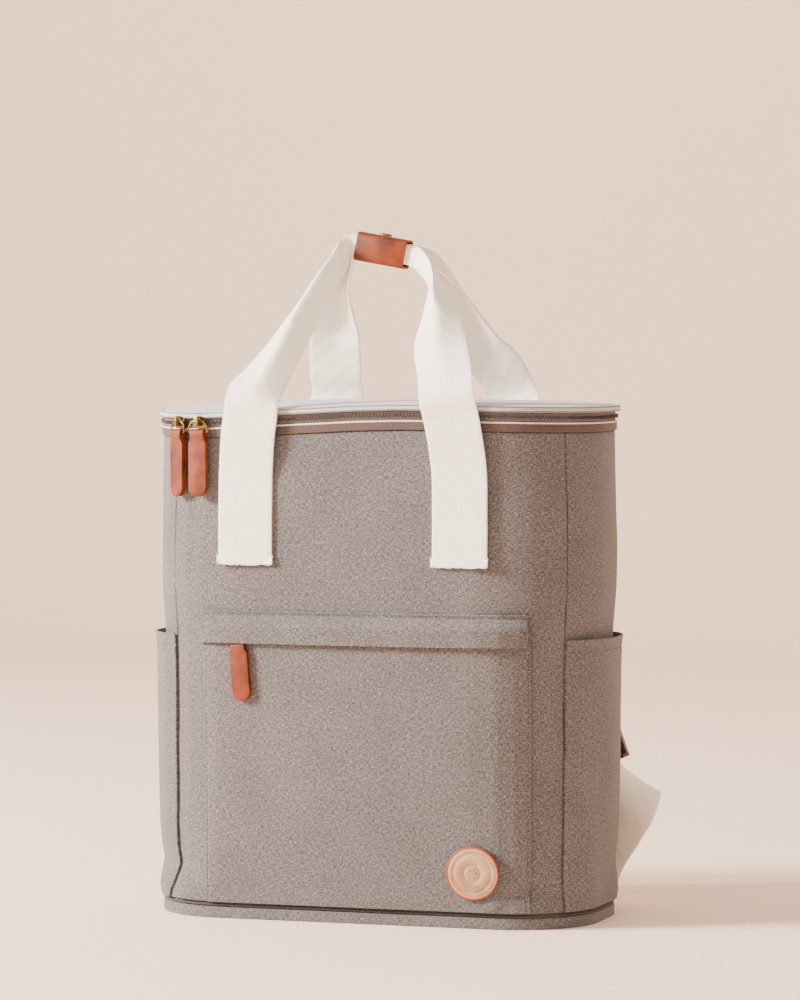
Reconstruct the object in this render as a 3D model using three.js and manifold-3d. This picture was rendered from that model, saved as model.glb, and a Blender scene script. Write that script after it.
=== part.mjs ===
// A cooler backpack that stands on its base: padded walls with rounded corners, a zipped lid, two cotton
// handles joined by a leather sleeve, flat pockets on the front and the sides, and webbing shoulder straps.
// Millimetres, +Z up. The front faces -Y, and the origin is the centre of the base on the floor.
import * as THREE from 'three';
import { mergeVertices } from 'three/addons/utils/BufferGeometryUtils.js';
import Module from 'manifold-3d';

const wasm = await Module();
wasm.setup();

// Clearances between pieces
const SEAT = 0.3;
const SEWN = 0.5;

// The bag's walls, base and rim
const BAG_WIDTH = 320;
const BAG_DEPTH = 154;
const SIDE_FLAT = 7;
const WALL = 5;
const WALL_HEIGHT = 322;
const BASE_THICKNESS = 7.5;
const PIPING_DIAMETER = 2.6;
const PIPING_PROUD = 0.7;
const FRONT_LEFT_SEAM_ANGLE = 39;
const FRONT_RIGHT_SEAM_ANGLE = 50;
const BACK_SEAM_ANGLE = 45;
const SEAM_WIDTH = 0.6;
const QUARTER_ANGLE = 90;
const RIM_BAND_HEIGHT = 6.4;
const RIM_BAND_THICKNESS = 4;
const RIM_BAND_PROUD = 1.1;
const ZIP_HEIGHT = 6;
const ZIP_TAPE_THICKNESS = 1.6;
const ZIP_CHAIN_HEIGHT = 2.8;
const ZIP_CHAIN_THICKNESS = 1.8;
const HINGE_THICKNESS = 2.4;
const LID_OVERHANG = 3.5;
const LID_BAND_HEIGHT = 4;
const LID_BAND_THICKNESS = 2.2;
const LID_CROWN = 2.2;
const LID_ROUND = 1.5;
const RIM_SAG = 6.6;

// Pockets
const POCKET_CLOTH = 1.5;
const FRONT_POCKET_LEFT = 106;
const FRONT_POCKET_RIGHT = 122;
const FRONT_POCKET_TOP = 199;
const FRONT_POCKET_ROOM = 5.6;
const FLAP_RISE = 11.5;
const FLAP_HEIGHT = 22;
const FLAP_HEM = 2;
const FLAP_MARGIN = 3.5;
const FLAP_ROOM = 2.3;
const SIDE_POCKET_TOP = 193;
const SIDE_POCKET_ROOM = 5.4;
const PATCH_DIAMETER = 36.5;
const PATCH_THICKNESS = 2;
const PATCH_X = 84;
const PATCH_Z = 39.8;

// Webbing handles and their leather sleeve
const WEBBING_WIDTH = 38;
const WEBBING_THICKNESS = 2.2;
const HANDLE_SPACING = 152;
const HANDLE_FOOT = 242;
const HANDLE_RISE = 106;
const GRIP_OFFSET = 3.5;
const GRIP_X = -3.5;
const GRIP_DROP = 3;
const GRIP_ANGLE = 10.4;
const GRIP_FOLD = 84;
const GRIP_GATHER = 0.72;
const SLEEVE_LENGTH = 36;
const SLEEVE_HEIGHT = 20;
const SLEEVE_DEPTH = 16.4;
const SLEEVE_CORNER = 3.2;
const SLEEVE_WALL = 1.5;
const SLEEVE_MARGIN = 4;
const SLEEVE_INSIDE = 1;
const SNAP_DIAMETER = 9;
const SNAP_THICKNESS = 1.4;
const SNAP_BEVEL = 0.6;

// Zip sliders, rings and leather tabs
const TAB_WIDTH = 13;
const TAB_LENGTH = 46;
const TAB_LEATHER = 1.7;
const TAB_NECK = 1.5;
const RING_WIRE = 1.5;
const RING_HEIGHT = 8.7;
const SLIDER_WIDTH = 9;
const SLIDER_HEIGHT = 6;
const SLIDER_PLATE = 1.6;
const BRIDGE_WIDTH = 3.2;
const BRIDGE_THICKNESS = 1.2;
const BRIDGE_CENTRE = 2.2;
const BRIDGE_CLEARANCE = 0.9;
const BRIDGE_BITE = 0.1;
const SLIDER_PAST_HANDLE = 13.4;
const SLIDER_SPACING = 16.3;
const POCKET_PULL_X = -79;
const POCKET_TAB_LENGTH = 39;
const POCKET_TAB_TILT = 5;
const TAB_UNDER_FLAP = 6;
const POCKET_SLIDER_HEIGHT = 4;
const RIGHT_TAB_TURN = 9;

// Shoulder straps
const STRAP_TOP = 322;
const STRAP_BULGE = 40;
const BUCKLE_WIDTH = 47;
const BUCKLE_HEIGHT = 25;
const BUCKLE_BAR = 3;
const BUCKLE_RAIL = 2.1;

// Sizes that follow from those above
const CORNER_RADIUS = BAG_DEPTH / 2 - SIDE_FLAT;
const LIP_TOP = BASE_THICKNESS + SEAT + PIPING_DIAMETER;
const WALL_BOTTOM = LIP_TOP + SEAT;
const WALL_TOP = WALL_BOTTOM + WALL_HEIGHT;
const RIM_BAND_TOP = WALL_TOP + SEAT + RIM_BAND_HEIGHT;
const ZIP_BOTTOM = RIM_BAND_TOP + SEAT;
const ZIP_TOP = ZIP_BOTTOM + ZIP_HEIGHT;
const LID_BOTTOM = ZIP_TOP + SEAT;
const LID_BAND_TOP = LID_BOTTOM + LID_BAND_HEIGHT;
const LID_TOP = LID_BAND_TOP + LID_CROWN;
const FLAP_TOP = FRONT_POCKET_TOP + FLAP_RISE;

// The walls' outline at each height, as shares of the wall height, bag width, bag depth and corner radius
const SECTIONS = [
  { height: 0, width: 0.969, depth: 0.968, radius: 0.82 },
  { height: 0.03, width: 0.972, depth: 0.975, radius: 0.84 },
  { height: 0.075, width: 0.966, depth: 0.977, radius: 0.9 },
  { height: 0.16, width: 0.975, depth: 0.985, radius: 0.96 },
  { height: 0.35, width: 0.982, depth: 0.995, radius: 1 },
  { height: 0.52, width: 0.984, depth: 1, radius: 1 },
  { height: 0.6, width: 0.991, depth: 1, radius: 1 },
  { height: 0.68, width: 1, depth: 1, radius: 1 },
  { height: 0.88, width: 0.993, depth: 0.995, radius: 1 },
  { height: 1, width: 0.986, depth: 0.99, radius: 1 },
];

// Dents (positive) and swells (negative) of the padded walls. x, y and height place the middle as shares of
// the half width, half depth and wall height. deep is a share of the depth, wide and tall of width and height.
const DENTS = [
  { name: 'front belly', x: 0.05, y: -1, height: 0.36, deep: -0.016, wide: 0.3, tall: 0.3 },
  { name: 'back belly', x: 0, y: 1, height: 0.45, deep: -0.014, wide: 0.3, tall: 0.35 },
  { name: 'left foot crease', x: -0.93, y: -0.72, height: 0.075, deep: 0.032, wide: 0.08, tall: 0.028 },
  { name: 'right foot crease', x: 0.83, y: -0.93, height: 0.035, deep: 0.022, wide: 0.075, tall: 0.016 },
  { name: 'right foot pinch', x: 0.98, y: 0.1, height: 0.08, deep: 0.014, wide: 0.08, tall: 0.04 },
  { name: 'left pocket hollow', x: -1, y: 0, height: 0.44, deep: 0.02, wide: 0.13, tall: 0.24 },
  { name: 'right pocket hollow', x: 1, y: 0, height: 0.44, deep: 0.02, wide: 0.13, tall: 0.24 },
  { name: 'dent over the pocket', x: -0.55, y: -1, height: 0.8, deep: 0.008, wide: 0.1, tall: 0.12 },
];

// How far the front of the rim sags across the width, as a share of the rim's sag
const SAG = [
  { x: -1, drop: 1 },
  { x: -0.75, drop: 0.98 },
  { x: -0.27, drop: 0.46 },
  { x: 0.16, drop: 0 },
  { x: 0.72, drop: 0.18 },
  { x: 1, drop: 0.35 },
];

const LEVELS = [0, 0.02, 0.045, 0.075, 0.11, 0.16, 0.25, 0.37, 0.5, 0.58, 0.66, 0.76, 0.88, 1];
const LEVEL_SPACING = 0.01;
const CORNER_STEPS = 9;
const LONG_STEPS = 6;
const SHORT_STEPS = 1;

// Reads a column of a table at a value, on a smooth curve through its rows
function readTable(rows, key, column, value) {
  const last = rows.length - 1;
  const x = THREE.MathUtils.clamp(value, rows[0][key], rows[last][key]);
  let i = 0;
  while (i < last - 1 && x > rows[i + 1][key]) i++;
  const slope = (k) => {
    const a = rows[Math.max(k - 1, 0)];
    const b = rows[Math.min(k + 1, last)];
    return (b[column] - a[column]) / (b[key] - a[key]);
  };
  const span = rows[i + 1][key] - rows[i][key];
  const t = (x - rows[i][key]) / span;
  const a = rows[i][column];
  const b = rows[i + 1][column];
  const curve = (2 * t ** 3 - 3 * t ** 2 + 1) * a + (3 * t ** 2 - 2 * t ** 3) * b;
  return curve + span * ((t ** 3 - 2 * t ** 2 + t) * slope(i) + (t ** 3 - t ** 2) * slope(i + 1));
}

function sectionAt(z) {
  const height = (z - WALL_BOTTOM) / WALL_HEIGHT;
  const read = (column) => readTable(SECTIONS, 'height', column, height);
  return {
    width: read('width') * BAG_WIDTH,
    depth: read('depth') * BAG_DEPTH,
    radius: read('radius') * CORNER_RADIUS,
  };
}

// A station is a place on the outline: the share of the straight part that it has reached and its normal
function cornerStation(sideX, sideY, degrees) {
  const angle = THREE.MathUtils.degToRad(degrees);
  return { cx: sideX, cy: sideY, nx: sideX * Math.sin(angle), ny: sideY * Math.cos(angle) };
}

function cornerStations(sideX, sideY, from, to) {
  const steps = Math.max(2, Math.round((CORNER_STEPS * Math.abs(to - from)) / QUARTER_ANGLE));
  return Array.from({ length: steps + 1 }, (_, i) => {
    return cornerStation(sideX, sideY, from + ((to - from) * i) / steps);
  });
}

function straightStations(start, end, steps) {
  const inner = [];
  for (let i = 1; i < steps; i++) {
    const t = i / steps;
    inner.push({
      cx: THREE.MathUtils.lerp(start.cx, end.cx, t),
      cy: THREE.MathUtils.lerp(start.cy, end.cy, t),
      nx: start.nx,
      ny: start.ny,
    });
  }
  return inner;
}

// Stations from one corner's seam round to the next, counter-clockwise from above, a seam's half apart
function panelStations(first, second, steps) {
  const shift = THREE.MathUtils.radToDeg(SEAM_WIDTH / 2 / CORNER_RADIUS);
  const towards = Math.sign(first.end - first.seam);
  const a = cornerStations(first.x, first.y, first.seam + towards * shift, first.end);
  const back = Math.sign(second.seam - second.end);
  const b = cornerStations(second.x, second.y, second.end, second.seam - back * shift);
  return [...a, ...straightStations(a[a.length - 1], b[0], steps), ...b];
}

const FRONT_STATIONS = panelStations(
  { x: -1, y: -1, seam: FRONT_LEFT_SEAM_ANGLE, end: 0 },
  { x: 1, y: -1, seam: FRONT_RIGHT_SEAM_ANGLE, end: 0 },
  LONG_STEPS,
);
const RIGHT_STATIONS = panelStations(
  { x: 1, y: -1, seam: FRONT_RIGHT_SEAM_ANGLE, end: QUARTER_ANGLE },
  { x: 1, y: 1, seam: BACK_SEAM_ANGLE, end: QUARTER_ANGLE },
  SHORT_STEPS,
);
const BACK_STATIONS = panelStations(
  { x: 1, y: 1, seam: BACK_SEAM_ANGLE, end: 0 },
  { x: -1, y: 1, seam: BACK_SEAM_ANGLE, end: 0 },
  LONG_STEPS,
);
const LEFT_STATIONS = panelStations(
  { x: -1, y: 1, seam: BACK_SEAM_ANGLE, end: QUARTER_ANGLE },
  { x: -1, y: -1, seam: FRONT_LEFT_SEAM_ANGLE, end: QUARTER_ANGLE },
  SHORT_STEPS,
);
const LOOP_STATIONS = [FRONT_STATIONS, RIGHT_STATIONS, BACK_STATIONS, LEFT_STATIONS].flatMap((side) => {
  return side.slice(0, -1);
});
const ZIP_STATIONS = [...LEFT_STATIONS, ...FRONT_STATIONS.slice(1), ...RIGHT_STATIONS.slice(1)];

function dentAt(x, y, z) {
  let depth = 0;
  for (const dent of DENTS) {
    const away = Math.hypot(x - (dent.x * BAG_WIDTH) / 2, y - (dent.y * BAG_DEPTH) / 2);
    const across = away / (dent.wide * BAG_WIDTH);
    const up = (z - WALL_BOTTOM - dent.height * WALL_HEIGHT) / (dent.tall * WALL_HEIGHT);
    depth += dent.deep * BAG_DEPTH * Math.exp(-(across ** 2) - up ** 2);
  }
  return depth;
}

function sagAt(x, y, z) {
  const front = THREE.MathUtils.clamp(0.5 - y / BAG_DEPTH, 0, 1);
  const high = THREE.MathUtils.smoothstep((z - WALL_BOTTOM) / WALL_HEIGHT, 0.72, 1);
  return RIM_SAG * readTable(SAG, 'x', 'drop', (2 * x) / BAG_WIDTH) * front * high;
}

// The point of the walls' outer face at a station and height, moved outward by a distance
function onSkin(station, z, outward = 0) {
  const { width, depth, radius } = sectionAt(z);
  const x = station.cx * (width / 2 - radius) + station.nx * radius;
  const y = station.cy * (depth / 2 - radius) + station.ny * radius;
  const reach = outward - (z > BASE_THICKNESS ? dentAt(x, y, z) : 0);
  return new THREE.Vector3(x + station.nx * reach, y + station.ny * reach, z - sagAt(x, y, z));
}

// The station of a place on the front (side -1) or back (side 1) wall that lies at x at a height
function faceStation(x, z, side) {
  const { width, radius } = sectionAt(z);
  const straight = width / 2 - radius;
  if (Math.abs(x) <= straight) return { cx: x / straight, cy: side, nx: 0, ny: side };
  const angle = Math.asin(Math.min(1, (Math.abs(x) - straight) / radius));
  return { cx: Math.sign(x), cy: side, nx: Math.sign(x) * Math.sin(angle), ny: side * Math.cos(angle) };
}

function geometryOf(points, triangles) {
  const geometry = new THREE.BufferGeometry();
  const numbers = points.flatMap((p) => [p.x, p.y, p.z]);
  geometry.setAttribute('position', new THREE.Float32BufferAttribute(numbers, 3));
  const volume = triangles.reduce((sum, [a, b, c]) => {
    return sum + points[a].dot(new THREE.Vector3().crossVectors(points[b], points[c]));
  }, 0);
  geometry.setIndex(triangles.flatMap(([a, b, c]) => (volume < 0 ? [a, c, b] : [a, b, c])));
  return geometry;
}

function capOf(ring, first, flip) {
  const normal = new THREE.Vector3();
  ring.forEach((p, i) => normal.add(new THREE.Vector3().crossVectors(p, ring[(i + 1) % ring.length])));
  normal.normalize();
  const across = new THREE.Vector3().subVectors(ring[Math.floor(ring.length / 2)], ring[0]).normalize();
  const up = new THREE.Vector3().crossVectors(normal, across).normalize();
  const flat = ring.map((p) => new THREE.Vector2(p.dot(across), p.dot(up)));
  return THREE.ShapeUtils.triangulateShape(flat, []).map(([a, b, c]) => {
    return flip ? [first + a, first + c, first + b] : [first + a, first + b, first + c];
  });
}

// A solid through closed rings of as many points each, capped at both ends or closed into a loop
function loft(rings, loop = false) {
  const count = rings[0].length;
  const points = rings.flat();
  const triangles = [];
  const bands = loop ? rings.length : rings.length - 1;
  for (let j = 0; j < bands; j++) {
    const low = j * count;
    const high = ((j + 1) % rings.length) * count;
    for (let i = 0; i < count; i++) {
      const next = (i + 1) % count;
      triangles.push([low + i, low + next, high + next], [low + i, high + next, high + i]);
    }
  }
  if (!loop) {
    const last = (rings.length - 1) * count;
    triangles.push(...capOf(rings[0], 0, true), ...capOf(rings[rings.length - 1], last, false));
  }
  return geometryOf(points, triangles);
}

// A sheet of cloth between stations and heights. lift gives its two faces' distances from the walls' skin.
function clothSheet(stations, heights, inner, outer) {
  const rings = stations.map((station, i) => {
    const share = i / (stations.length - 1);
    const rise = (z) => (z - heights[0]) / (heights[heights.length - 1] - heights[0]);
    const front = heights.map((z) => onSkin(station, z, outer(share, rise(z), z)));
    const back = heights.map((z) => onSkin(station, z, inner(share, rise(z), z)));
    return [...front, ...back.reverse()];
  });
  return loft(rings);
}

// A band that runs all the way round the bag, from its section's corners as lift and height
function bandRing(section) {
  return loft(LOOP_STATIONS.map((station) => section.map(({ lift, z }) => onSkin(station, z, lift))), true);
}

function roundSection(radius, sides, centreLift, centreZ) {
  return Array.from({ length: sides }, (_, i) => {
    const angle = (2 * Math.PI * (i + 0.5)) / sides;
    return { lift: centreLift + radius * Math.cos(angle), z: centreZ + radius * Math.sin(angle) };
  });
}

const cloth = (color, roughness = 0.95) => new THREE.MeshStandardMaterial({ color, roughness, metalness: 0 });
const metal = (color, roughness) => new THREE.MeshStandardMaterial({ color, roughness, metalness: 0.9 });
const greyCloth = () => cloth(0x958a83);
const lidCloth = () => cloth(0xb4afae, 0.8);
const trimCloth = () => cloth(0x84746c, 0.8);
const darkCloth = () => cloth(0x4a4140, 0.85);
const webbingCotton = () => cloth(0xece5da, 0.9);
const tanLeather = () => cloth(0xb8633f, 0.5);
const paleLeather = () => cloth(0xdcbda4, 0.6);
const agedBrass = () => metal(0x96733c, 0.35);
const darkMetal = () => metal(0x3a3430, 0.4);

const backpack = new THREE.Group();

function addPiece(name, geometry, material) {
  const mesh = new THREE.Mesh(geometry, material);
  mesh.name = name;
  backpack.add(mesh);
  return mesh;
}

function addWalls() {
  const heights = LEVELS.map((share) => WALL_BOTTOM + share * WALL_HEIGHT);
  const panels = {
    front_panel: FRONT_STATIONS,
    side_gusset_right: RIGHT_STATIONS,
    back_panel: BACK_STATIONS,
    side_gusset_left: LEFT_STATIONS,
  };
  for (const [name, stations] of Object.entries(panels)) {
    addPiece(name, clothSheet(stations, heights, () => -WALL, () => 0), greyCloth());
  }
}

function addBase() {
  const lip = PIPING_DIAMETER - PIPING_PROUD + SEAT;
  const ring = (z, lift) => LOOP_STATIONS.map((station) => {
    return onSkin(station, Math.min(z, BASE_THICKNESS), lift).setZ(z);
  });
  const rings = [ring(0, 0), ring(BASE_THICKNESS, 0), ring(BASE_THICKNESS, -lip), ring(LIP_TOP, -lip)];
  addPiece('base_panel', loft(rings), greyCloth());
  const radius = PIPING_DIAMETER / 2;
  const cord = roundSection(radius, 6, PIPING_PROUD - radius, BASE_THICKNESS + SEAT + radius);
  const rounds = LOOP_STATIONS.map((station) => {
    return cord.map(({ lift, z }) => onSkin(station, BASE_THICKNESS, lift).setZ(z));
  });
  addPiece('base_piping', loft(rounds, true), darkCloth());
}

function addRim() {
  const bandBack = RIM_BAND_PROUD - RIM_BAND_THICKNESS;
  const low = WALL_TOP + SEAT;
  addPiece('rim_band', bandRing([
    { lift: RIM_BAND_PROUD, z: low },
    { lift: RIM_BAND_PROUD, z: RIM_BAND_TOP },
    { lift: bandBack, z: RIM_BAND_TOP },
    { lift: bandBack, z: low },
  ]), trimCloth());
  const zipHeights = [ZIP_BOTTOM, ZIP_TOP];
  addPiece('zip_tape', clothSheet(ZIP_STATIONS, zipHeights, () => -ZIP_TAPE_THICKNESS, () => 0), darkCloth());
  const middle = (ZIP_BOTTOM + ZIP_TOP) / 2;
  const chainHeights = [middle - ZIP_CHAIN_HEIGHT / 2, middle + ZIP_CHAIN_HEIGHT / 2];
  const chainFace = () => SEAT + ZIP_CHAIN_THICKNESS;
  addPiece('zip_chain', clothSheet(ZIP_STATIONS, chainHeights, () => SEAT, chainFace), darkCloth());
  const hingeBack = () => RIM_BAND_PROUD - HINGE_THICKNESS;
  addPiece('lid_hinge', clothSheet(BACK_STATIONS, zipHeights, hingeBack, () => RIM_BAND_PROUD), greyCloth());
}

function addLid() {
  const bandBack = LID_OVERHANG - LID_BAND_THICKNESS;
  const edge = bandBack - SEAT;
  addPiece('lid_band', bandRing([
    { lift: LID_OVERHANG, z: LID_BOTTOM },
    { lift: LID_OVERHANG, z: LID_BAND_TOP },
    { lift: bandBack, z: LID_BAND_TOP },
    { lift: bandBack, z: LID_BOTTOM },
  ]), lidCloth());
  const ring = (z, lift) => LOOP_STATIONS.map((station) => onSkin(station, z, lift));
  addPiece('lid', loft([
    ring(LID_BOTTOM, edge - 2 * WALL),
    ring(LID_BOTTOM, edge),
    ring(LID_BAND_TOP - 0.2 * LID_CROWN, edge),
    ring(LID_BAND_TOP + 0.3 * LID_CROWN, edge - LID_ROUND),
    ring(LID_BAND_TOP + 0.75 * LID_CROWN, edge - 0.07 * BAG_DEPTH),
    ring(LID_TOP, edge - 0.2 * BAG_DEPTH),
  ]), lidCloth());
}

// A cloth patch on the front wall between two x and along heights
function frontSheet(left, right, steps, heights, inner, outer) {
  const rings = [];
  for (let i = 0; i <= steps; i++) {
    const share = (1 - Math.cos((Math.PI * i) / steps)) / 2;
    const x = THREE.MathUtils.lerp(left, right, share);
    const at = (z, lift) => onSkin(faceStation(x, z, -1), z, lift);
    const rise = (z) => (z - heights[0]) / (heights[heights.length - 1] - heights[0]);
    const front = heights.map((z) => at(z, outer(share, rise(z))));
    const back = heights.map((z) => at(z, inner(share, rise(z))));
    rings.push([...front, ...back.reverse()]);
  }
  return loft(rings);
}

// Heights from low to high that include the walls' own levels between them
function wallHeights(low, high) {
  const levels = LEVELS.map((share) => WALL_BOTTOM + share * WALL_HEIGHT);
  const apart = WALL_HEIGHT * LEVEL_SPACING;
  return [low, ...levels.filter((z) => z > low + apart && z < high - apart), high];
}

function spread(low, high, steps) {
  return Array.from({ length: steps + 1 }, (_, i) => THREE.MathUtils.lerp(low, high, i / steps));
}

const swell = (share) => Math.sin(Math.PI * THREE.MathUtils.clamp(share, 0, 1)) ** 0.6;
const openUp = (rise) => Math.sin((Math.PI / 2) * THREE.MathUtils.clamp(rise, 0, 1)) ** 0.6;
const frontPocketLift = (share, rise) => SEWN + FRONT_POCKET_ROOM * swell(share) * openUp(rise);

function addFrontPocket() {
  const bottom = WALL_BOTTOM + SEAT;
  const outer = (share, rise) => frontPocketLift(share, rise) + POCKET_CLOTH;
  const heights = wallHeights(bottom, FRONT_POCKET_TOP);
  const pocket = frontSheet(-FRONT_POCKET_LEFT, FRONT_POCKET_RIGHT, 15, heights, frontPocketLift, outer);
  addPiece('front_pocket', pocket, greyCloth());
  const flapBottom = FLAP_TOP - FLAP_HEIGHT;
  const bend = FRONT_POCKET_TOP + SEWN;
  const width = FRONT_POCKET_LEFT + FRONT_POCKET_RIGHT;
  const overPocket = (share, rise) => {
    const x = THREE.MathUtils.lerp(-FLAP_MARGIN, width + FLAP_MARGIN, share) / width;
    const z = flapBottom + rise * FLAP_HEIGHT;
    const held = frontPocketLift(x, 1) + POCKET_CLOTH + FLAP_ROOM;
    return THREE.MathUtils.lerp(held, SEWN, THREE.MathUtils.smoothstep(z, bend, FLAP_TOP - FLAP_HEM));
  };
  const flapHeights = [...spread(flapBottom, bend, 2), ...spread(bend + FLAP_HEM, FLAP_TOP, 3)];
  const flapOuter = (share, rise) => overPocket(share, rise) + POCKET_CLOTH;
  const flapRight = FRONT_POCKET_RIGHT + FLAP_MARGIN;
  const flap = frontSheet(-FRONT_POCKET_LEFT - FLAP_MARGIN, flapRight, 15, flapHeights, overPocket, flapOuter);
  addPiece('pocket_flap', flap, greyCloth());
}

function addSidePockets() {
  const lift = (share, rise) => SEWN + SIDE_POCKET_ROOM * swell(share) * openUp(rise);
  const outer = (share, rise) => lift(share, rise) + POCKET_CLOTH;
  const heights = wallHeights(WALL_BOTTOM + SEAT, SIDE_POCKET_TOP);
  const pockets = { side_pocket_right: RIGHT_STATIONS, side_pocket_left: LEFT_STATIONS };
  for (const [name, stations] of Object.entries(pockets)) {
    addPiece(name, clothSheet(stations, heights, lift, outer), greyCloth());
  }
}

function pocketLiftAt(x, z) {
  const share = (x + FRONT_POCKET_LEFT) / (FRONT_POCKET_LEFT + FRONT_POCKET_RIGHT);
  const bottom = WALL_BOTTOM + SEAT;
  return frontPocketLift(share, (z - bottom) / (FRONT_POCKET_TOP - bottom)) + POCKET_CLOTH;
}

function addPatch() {
  const radius = PATCH_DIAMETER / 2;
  const sides = 28;
  const face = (share, lift) => Array.from({ length: sides }, (_, i) => {
    const angle = (2 * Math.PI * i) / sides;
    const x = PATCH_X + radius * share * Math.cos(angle);
    const z = PATCH_Z + radius * share * Math.sin(angle);
    return onSkin(faceStation(x, z, -1), z, pocketLiftAt(x, z) + lift);
  });
  const low = SEWN + PATCH_THICKNESS / 4;
  const high = SEWN + PATCH_THICKNESS;
  const rings = [face(0.98, SEWN), face(1, low), face(1, high - PATCH_THICKNESS / 4), face(0.95, high)];
  addPiece('leather_patch', loft(rings), paleLeather());
}

// A strip of webbing along rows of { at, face, fold, gather }: at is the middle of its section, face the side
// that shows, fold the angle that each half hangs back by, and gather the share of its width that is left
function webbing(rows, steps) {
  const path = new THREE.CatmullRomCurve3(rows.map((row) => row.at), false, 'centripetal');
  const rings = [];
  const total = (rows.length - 1) * steps;
  for (let i = 0; i <= total; i++) {
    const row = Math.min(Math.floor(i / steps), rows.length - 2);
    const t = i / steps - row;
    const a = rows[row];
    const b = rows[row + 1];
    const tangent = path.getTangent(i / total);
    const face = a.face.clone().lerp(b.face, t);
    face.addScaledVector(tangent, -face.dot(tangent)).normalize();
    const across = new THREE.Vector3().crossVectors(tangent, face);
    const fold = THREE.MathUtils.degToRad(THREE.MathUtils.lerp(a.fold, b.fold, t));
    const half = (WEBBING_WIDTH / 2) * THREE.MathUtils.lerp(a.gather, b.gather, t);
    const point = path.getPoint(i / total);
    rings.push(webbingSection(half, fold).map(({ u, v }) => {
      return point.clone().addScaledVector(across, u).addScaledVector(face, v);
    }));
  }
  return loft(rings);
}

function webbingSection(half, fold) {
  const skin = WEBBING_THICKNESS / 2;
  const sin = Math.sin(fold);
  const cos = Math.cos(fold);
  const middle = (half * sin) / 2;
  const crown = Math.max(skin * Math.tan(fold / 2), SEAT);
  const crease = Math.min(skin / cos, 0.75 * half);
  return [
    { u: -half * cos - skin * sin, v: middle - half * sin + skin * cos },
    { u: -crown, v: middle + skin },
    { u: crown, v: middle + skin },
    { u: half * cos + skin * sin, v: middle - half * sin + skin * cos },
    { u: half * cos - skin * sin, v: middle - half * sin - skin * cos },
    { u: 0, v: middle - crease },
    { u: -half * cos + skin * sin, v: middle - half * sin - skin * cos },
  ];
}

// The free legs of each handle, from the rim up to the sleeve: across is a share of half the handle's spacing,
// deep of the way out to the webbing at the rim, rise of the handle's rise over the lid. lean tips the face
// from out to up, and fold and gather are the webbing's.
const FRONT_LEFT_LEG = [
  { across: -0.914, deep: 1, rise: 0.0, lean: 0, fold: 4, gather: 0.99 },
  { across: -0.822, deep: 0.895, rise: 0.165, lean: 12, fold: 30, gather: 0.95 },
  { across: -0.718, deep: 0.8, rise: 0.33, lean: 25, fold: 42, gather: 0.92 },
  { across: -0.609, deep: 0.635, rise: 0.535, lean: 40, fold: 50, gather: 0.9 },
  { across: -0.488, deep: 0.426, rise: 0.75, lean: 55, fold: 58, gather: 0.86 },
  { across: -0.43, deep: 0.23, rise: 0.875, lean: 68, fold: 70, gather: 0.8 },
];
const FRONT_RIGHT_LEG = [
  { across: 0.425, deep: 0.154, rise: 0.865, lean: 70, fold: 80, gather: 0.74 },
  { across: 0.545, deep: 0.308, rise: 0.775, lean: 50, fold: 76, gather: 0.78 },
  { across: 0.616, deep: 0.472, rise: 0.655, lean: 35, fold: 60, gather: 0.88 },
  { across: 0.69, deep: 0.612, rise: 0.525, lean: 25, fold: 38, gather: 0.95 },
  { across: 0.743, deep: 0.753, rise: 0.365, lean: 15, fold: 20, gather: 1 },
  { across: 0.836, deep: 0.884, rise: 0.18, lean: 8, fold: 8, gather: 1 },
  { across: 0.904, deep: 1, rise: 0.0, lean: 0, fold: 0, gather: 1 },
];
const BACK_LEFT_LEG = [
  { across: -0.867, deep: 1, rise: 0.0, lean: 0, fold: 0, gather: 1 },
  { across: -0.843, deep: 0.895, rise: 0.163, lean: 6, fold: 0, gather: 1 },
  { across: -0.803, deep: 0.789, rise: 0.335, lean: 12, fold: 6, gather: 1 },
  { across: -0.738, deep: 0.66, rise: 0.487, lean: 22, fold: 20, gather: 0.96 },
  { across: -0.674, deep: 0.518, rise: 0.612, lean: 35, fold: 42, gather: 0.9 },
  { across: -0.57, deep: 0.336, rise: 0.755, lean: 50, fold: 68, gather: 0.82 },
  { across: -0.45, deep: 0.16, rise: 0.89, lean: 68, fold: 80, gather: 0.76 },
];
const BACK_RIGHT_LEG = [
  { across: 0.37, deep: 0.127, rise: 0.9, lean: 75, fold: 76, gather: 0.76 },
  { across: 0.45, deep: 0.272, rise: 0.8, lean: 62, fold: 62, gather: 0.86 },
  { across: 0.5, deep: 0.435, rise: 0.68, lean: 50, fold: 52, gather: 0.92 },
  { across: 0.56, deep: 0.6, rise: 0.53, lean: 35, fold: 42, gather: 0.96 },
  { across: 0.63, deep: 0.744, rise: 0.37, lean: 22, fold: 28, gather: 0.98 },
  { across: 0.735, deep: 0.875, rise: 0.22, lean: 12, fold: 8, gather: 1 },
  { across: 0.85, deep: 1, rise: 0.0, lean: 0, fold: 0, gather: 1 },
];

// The sewn part of a leg, up the wall and over the rim: height as a share from the foot to the lid's top,
// lift as a share of the way out to the lid's edge
const SEWN_LEG = [
  { height: 0, lift: 0 },
  { height: 0.3, lift: 0.02 },
  { height: 0.62, lift: 0.12 },
  { height: 0.8, lift: 0.75 },
  { height: 0.93, lift: 1.02 },
];

const GRIP_MIDDLE = new THREE.Vector3(GRIP_X, 0, LID_TOP + HANDLE_RISE - GRIP_DROP);
const GRIP_SLOPE = THREE.MathUtils.degToRad(GRIP_ANGLE);

function legFace(side, lean) {
  const angle = THREE.MathUtils.degToRad(lean);
  return new THREE.Vector3(0, side * Math.cos(angle), Math.sin(angle));
}

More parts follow.
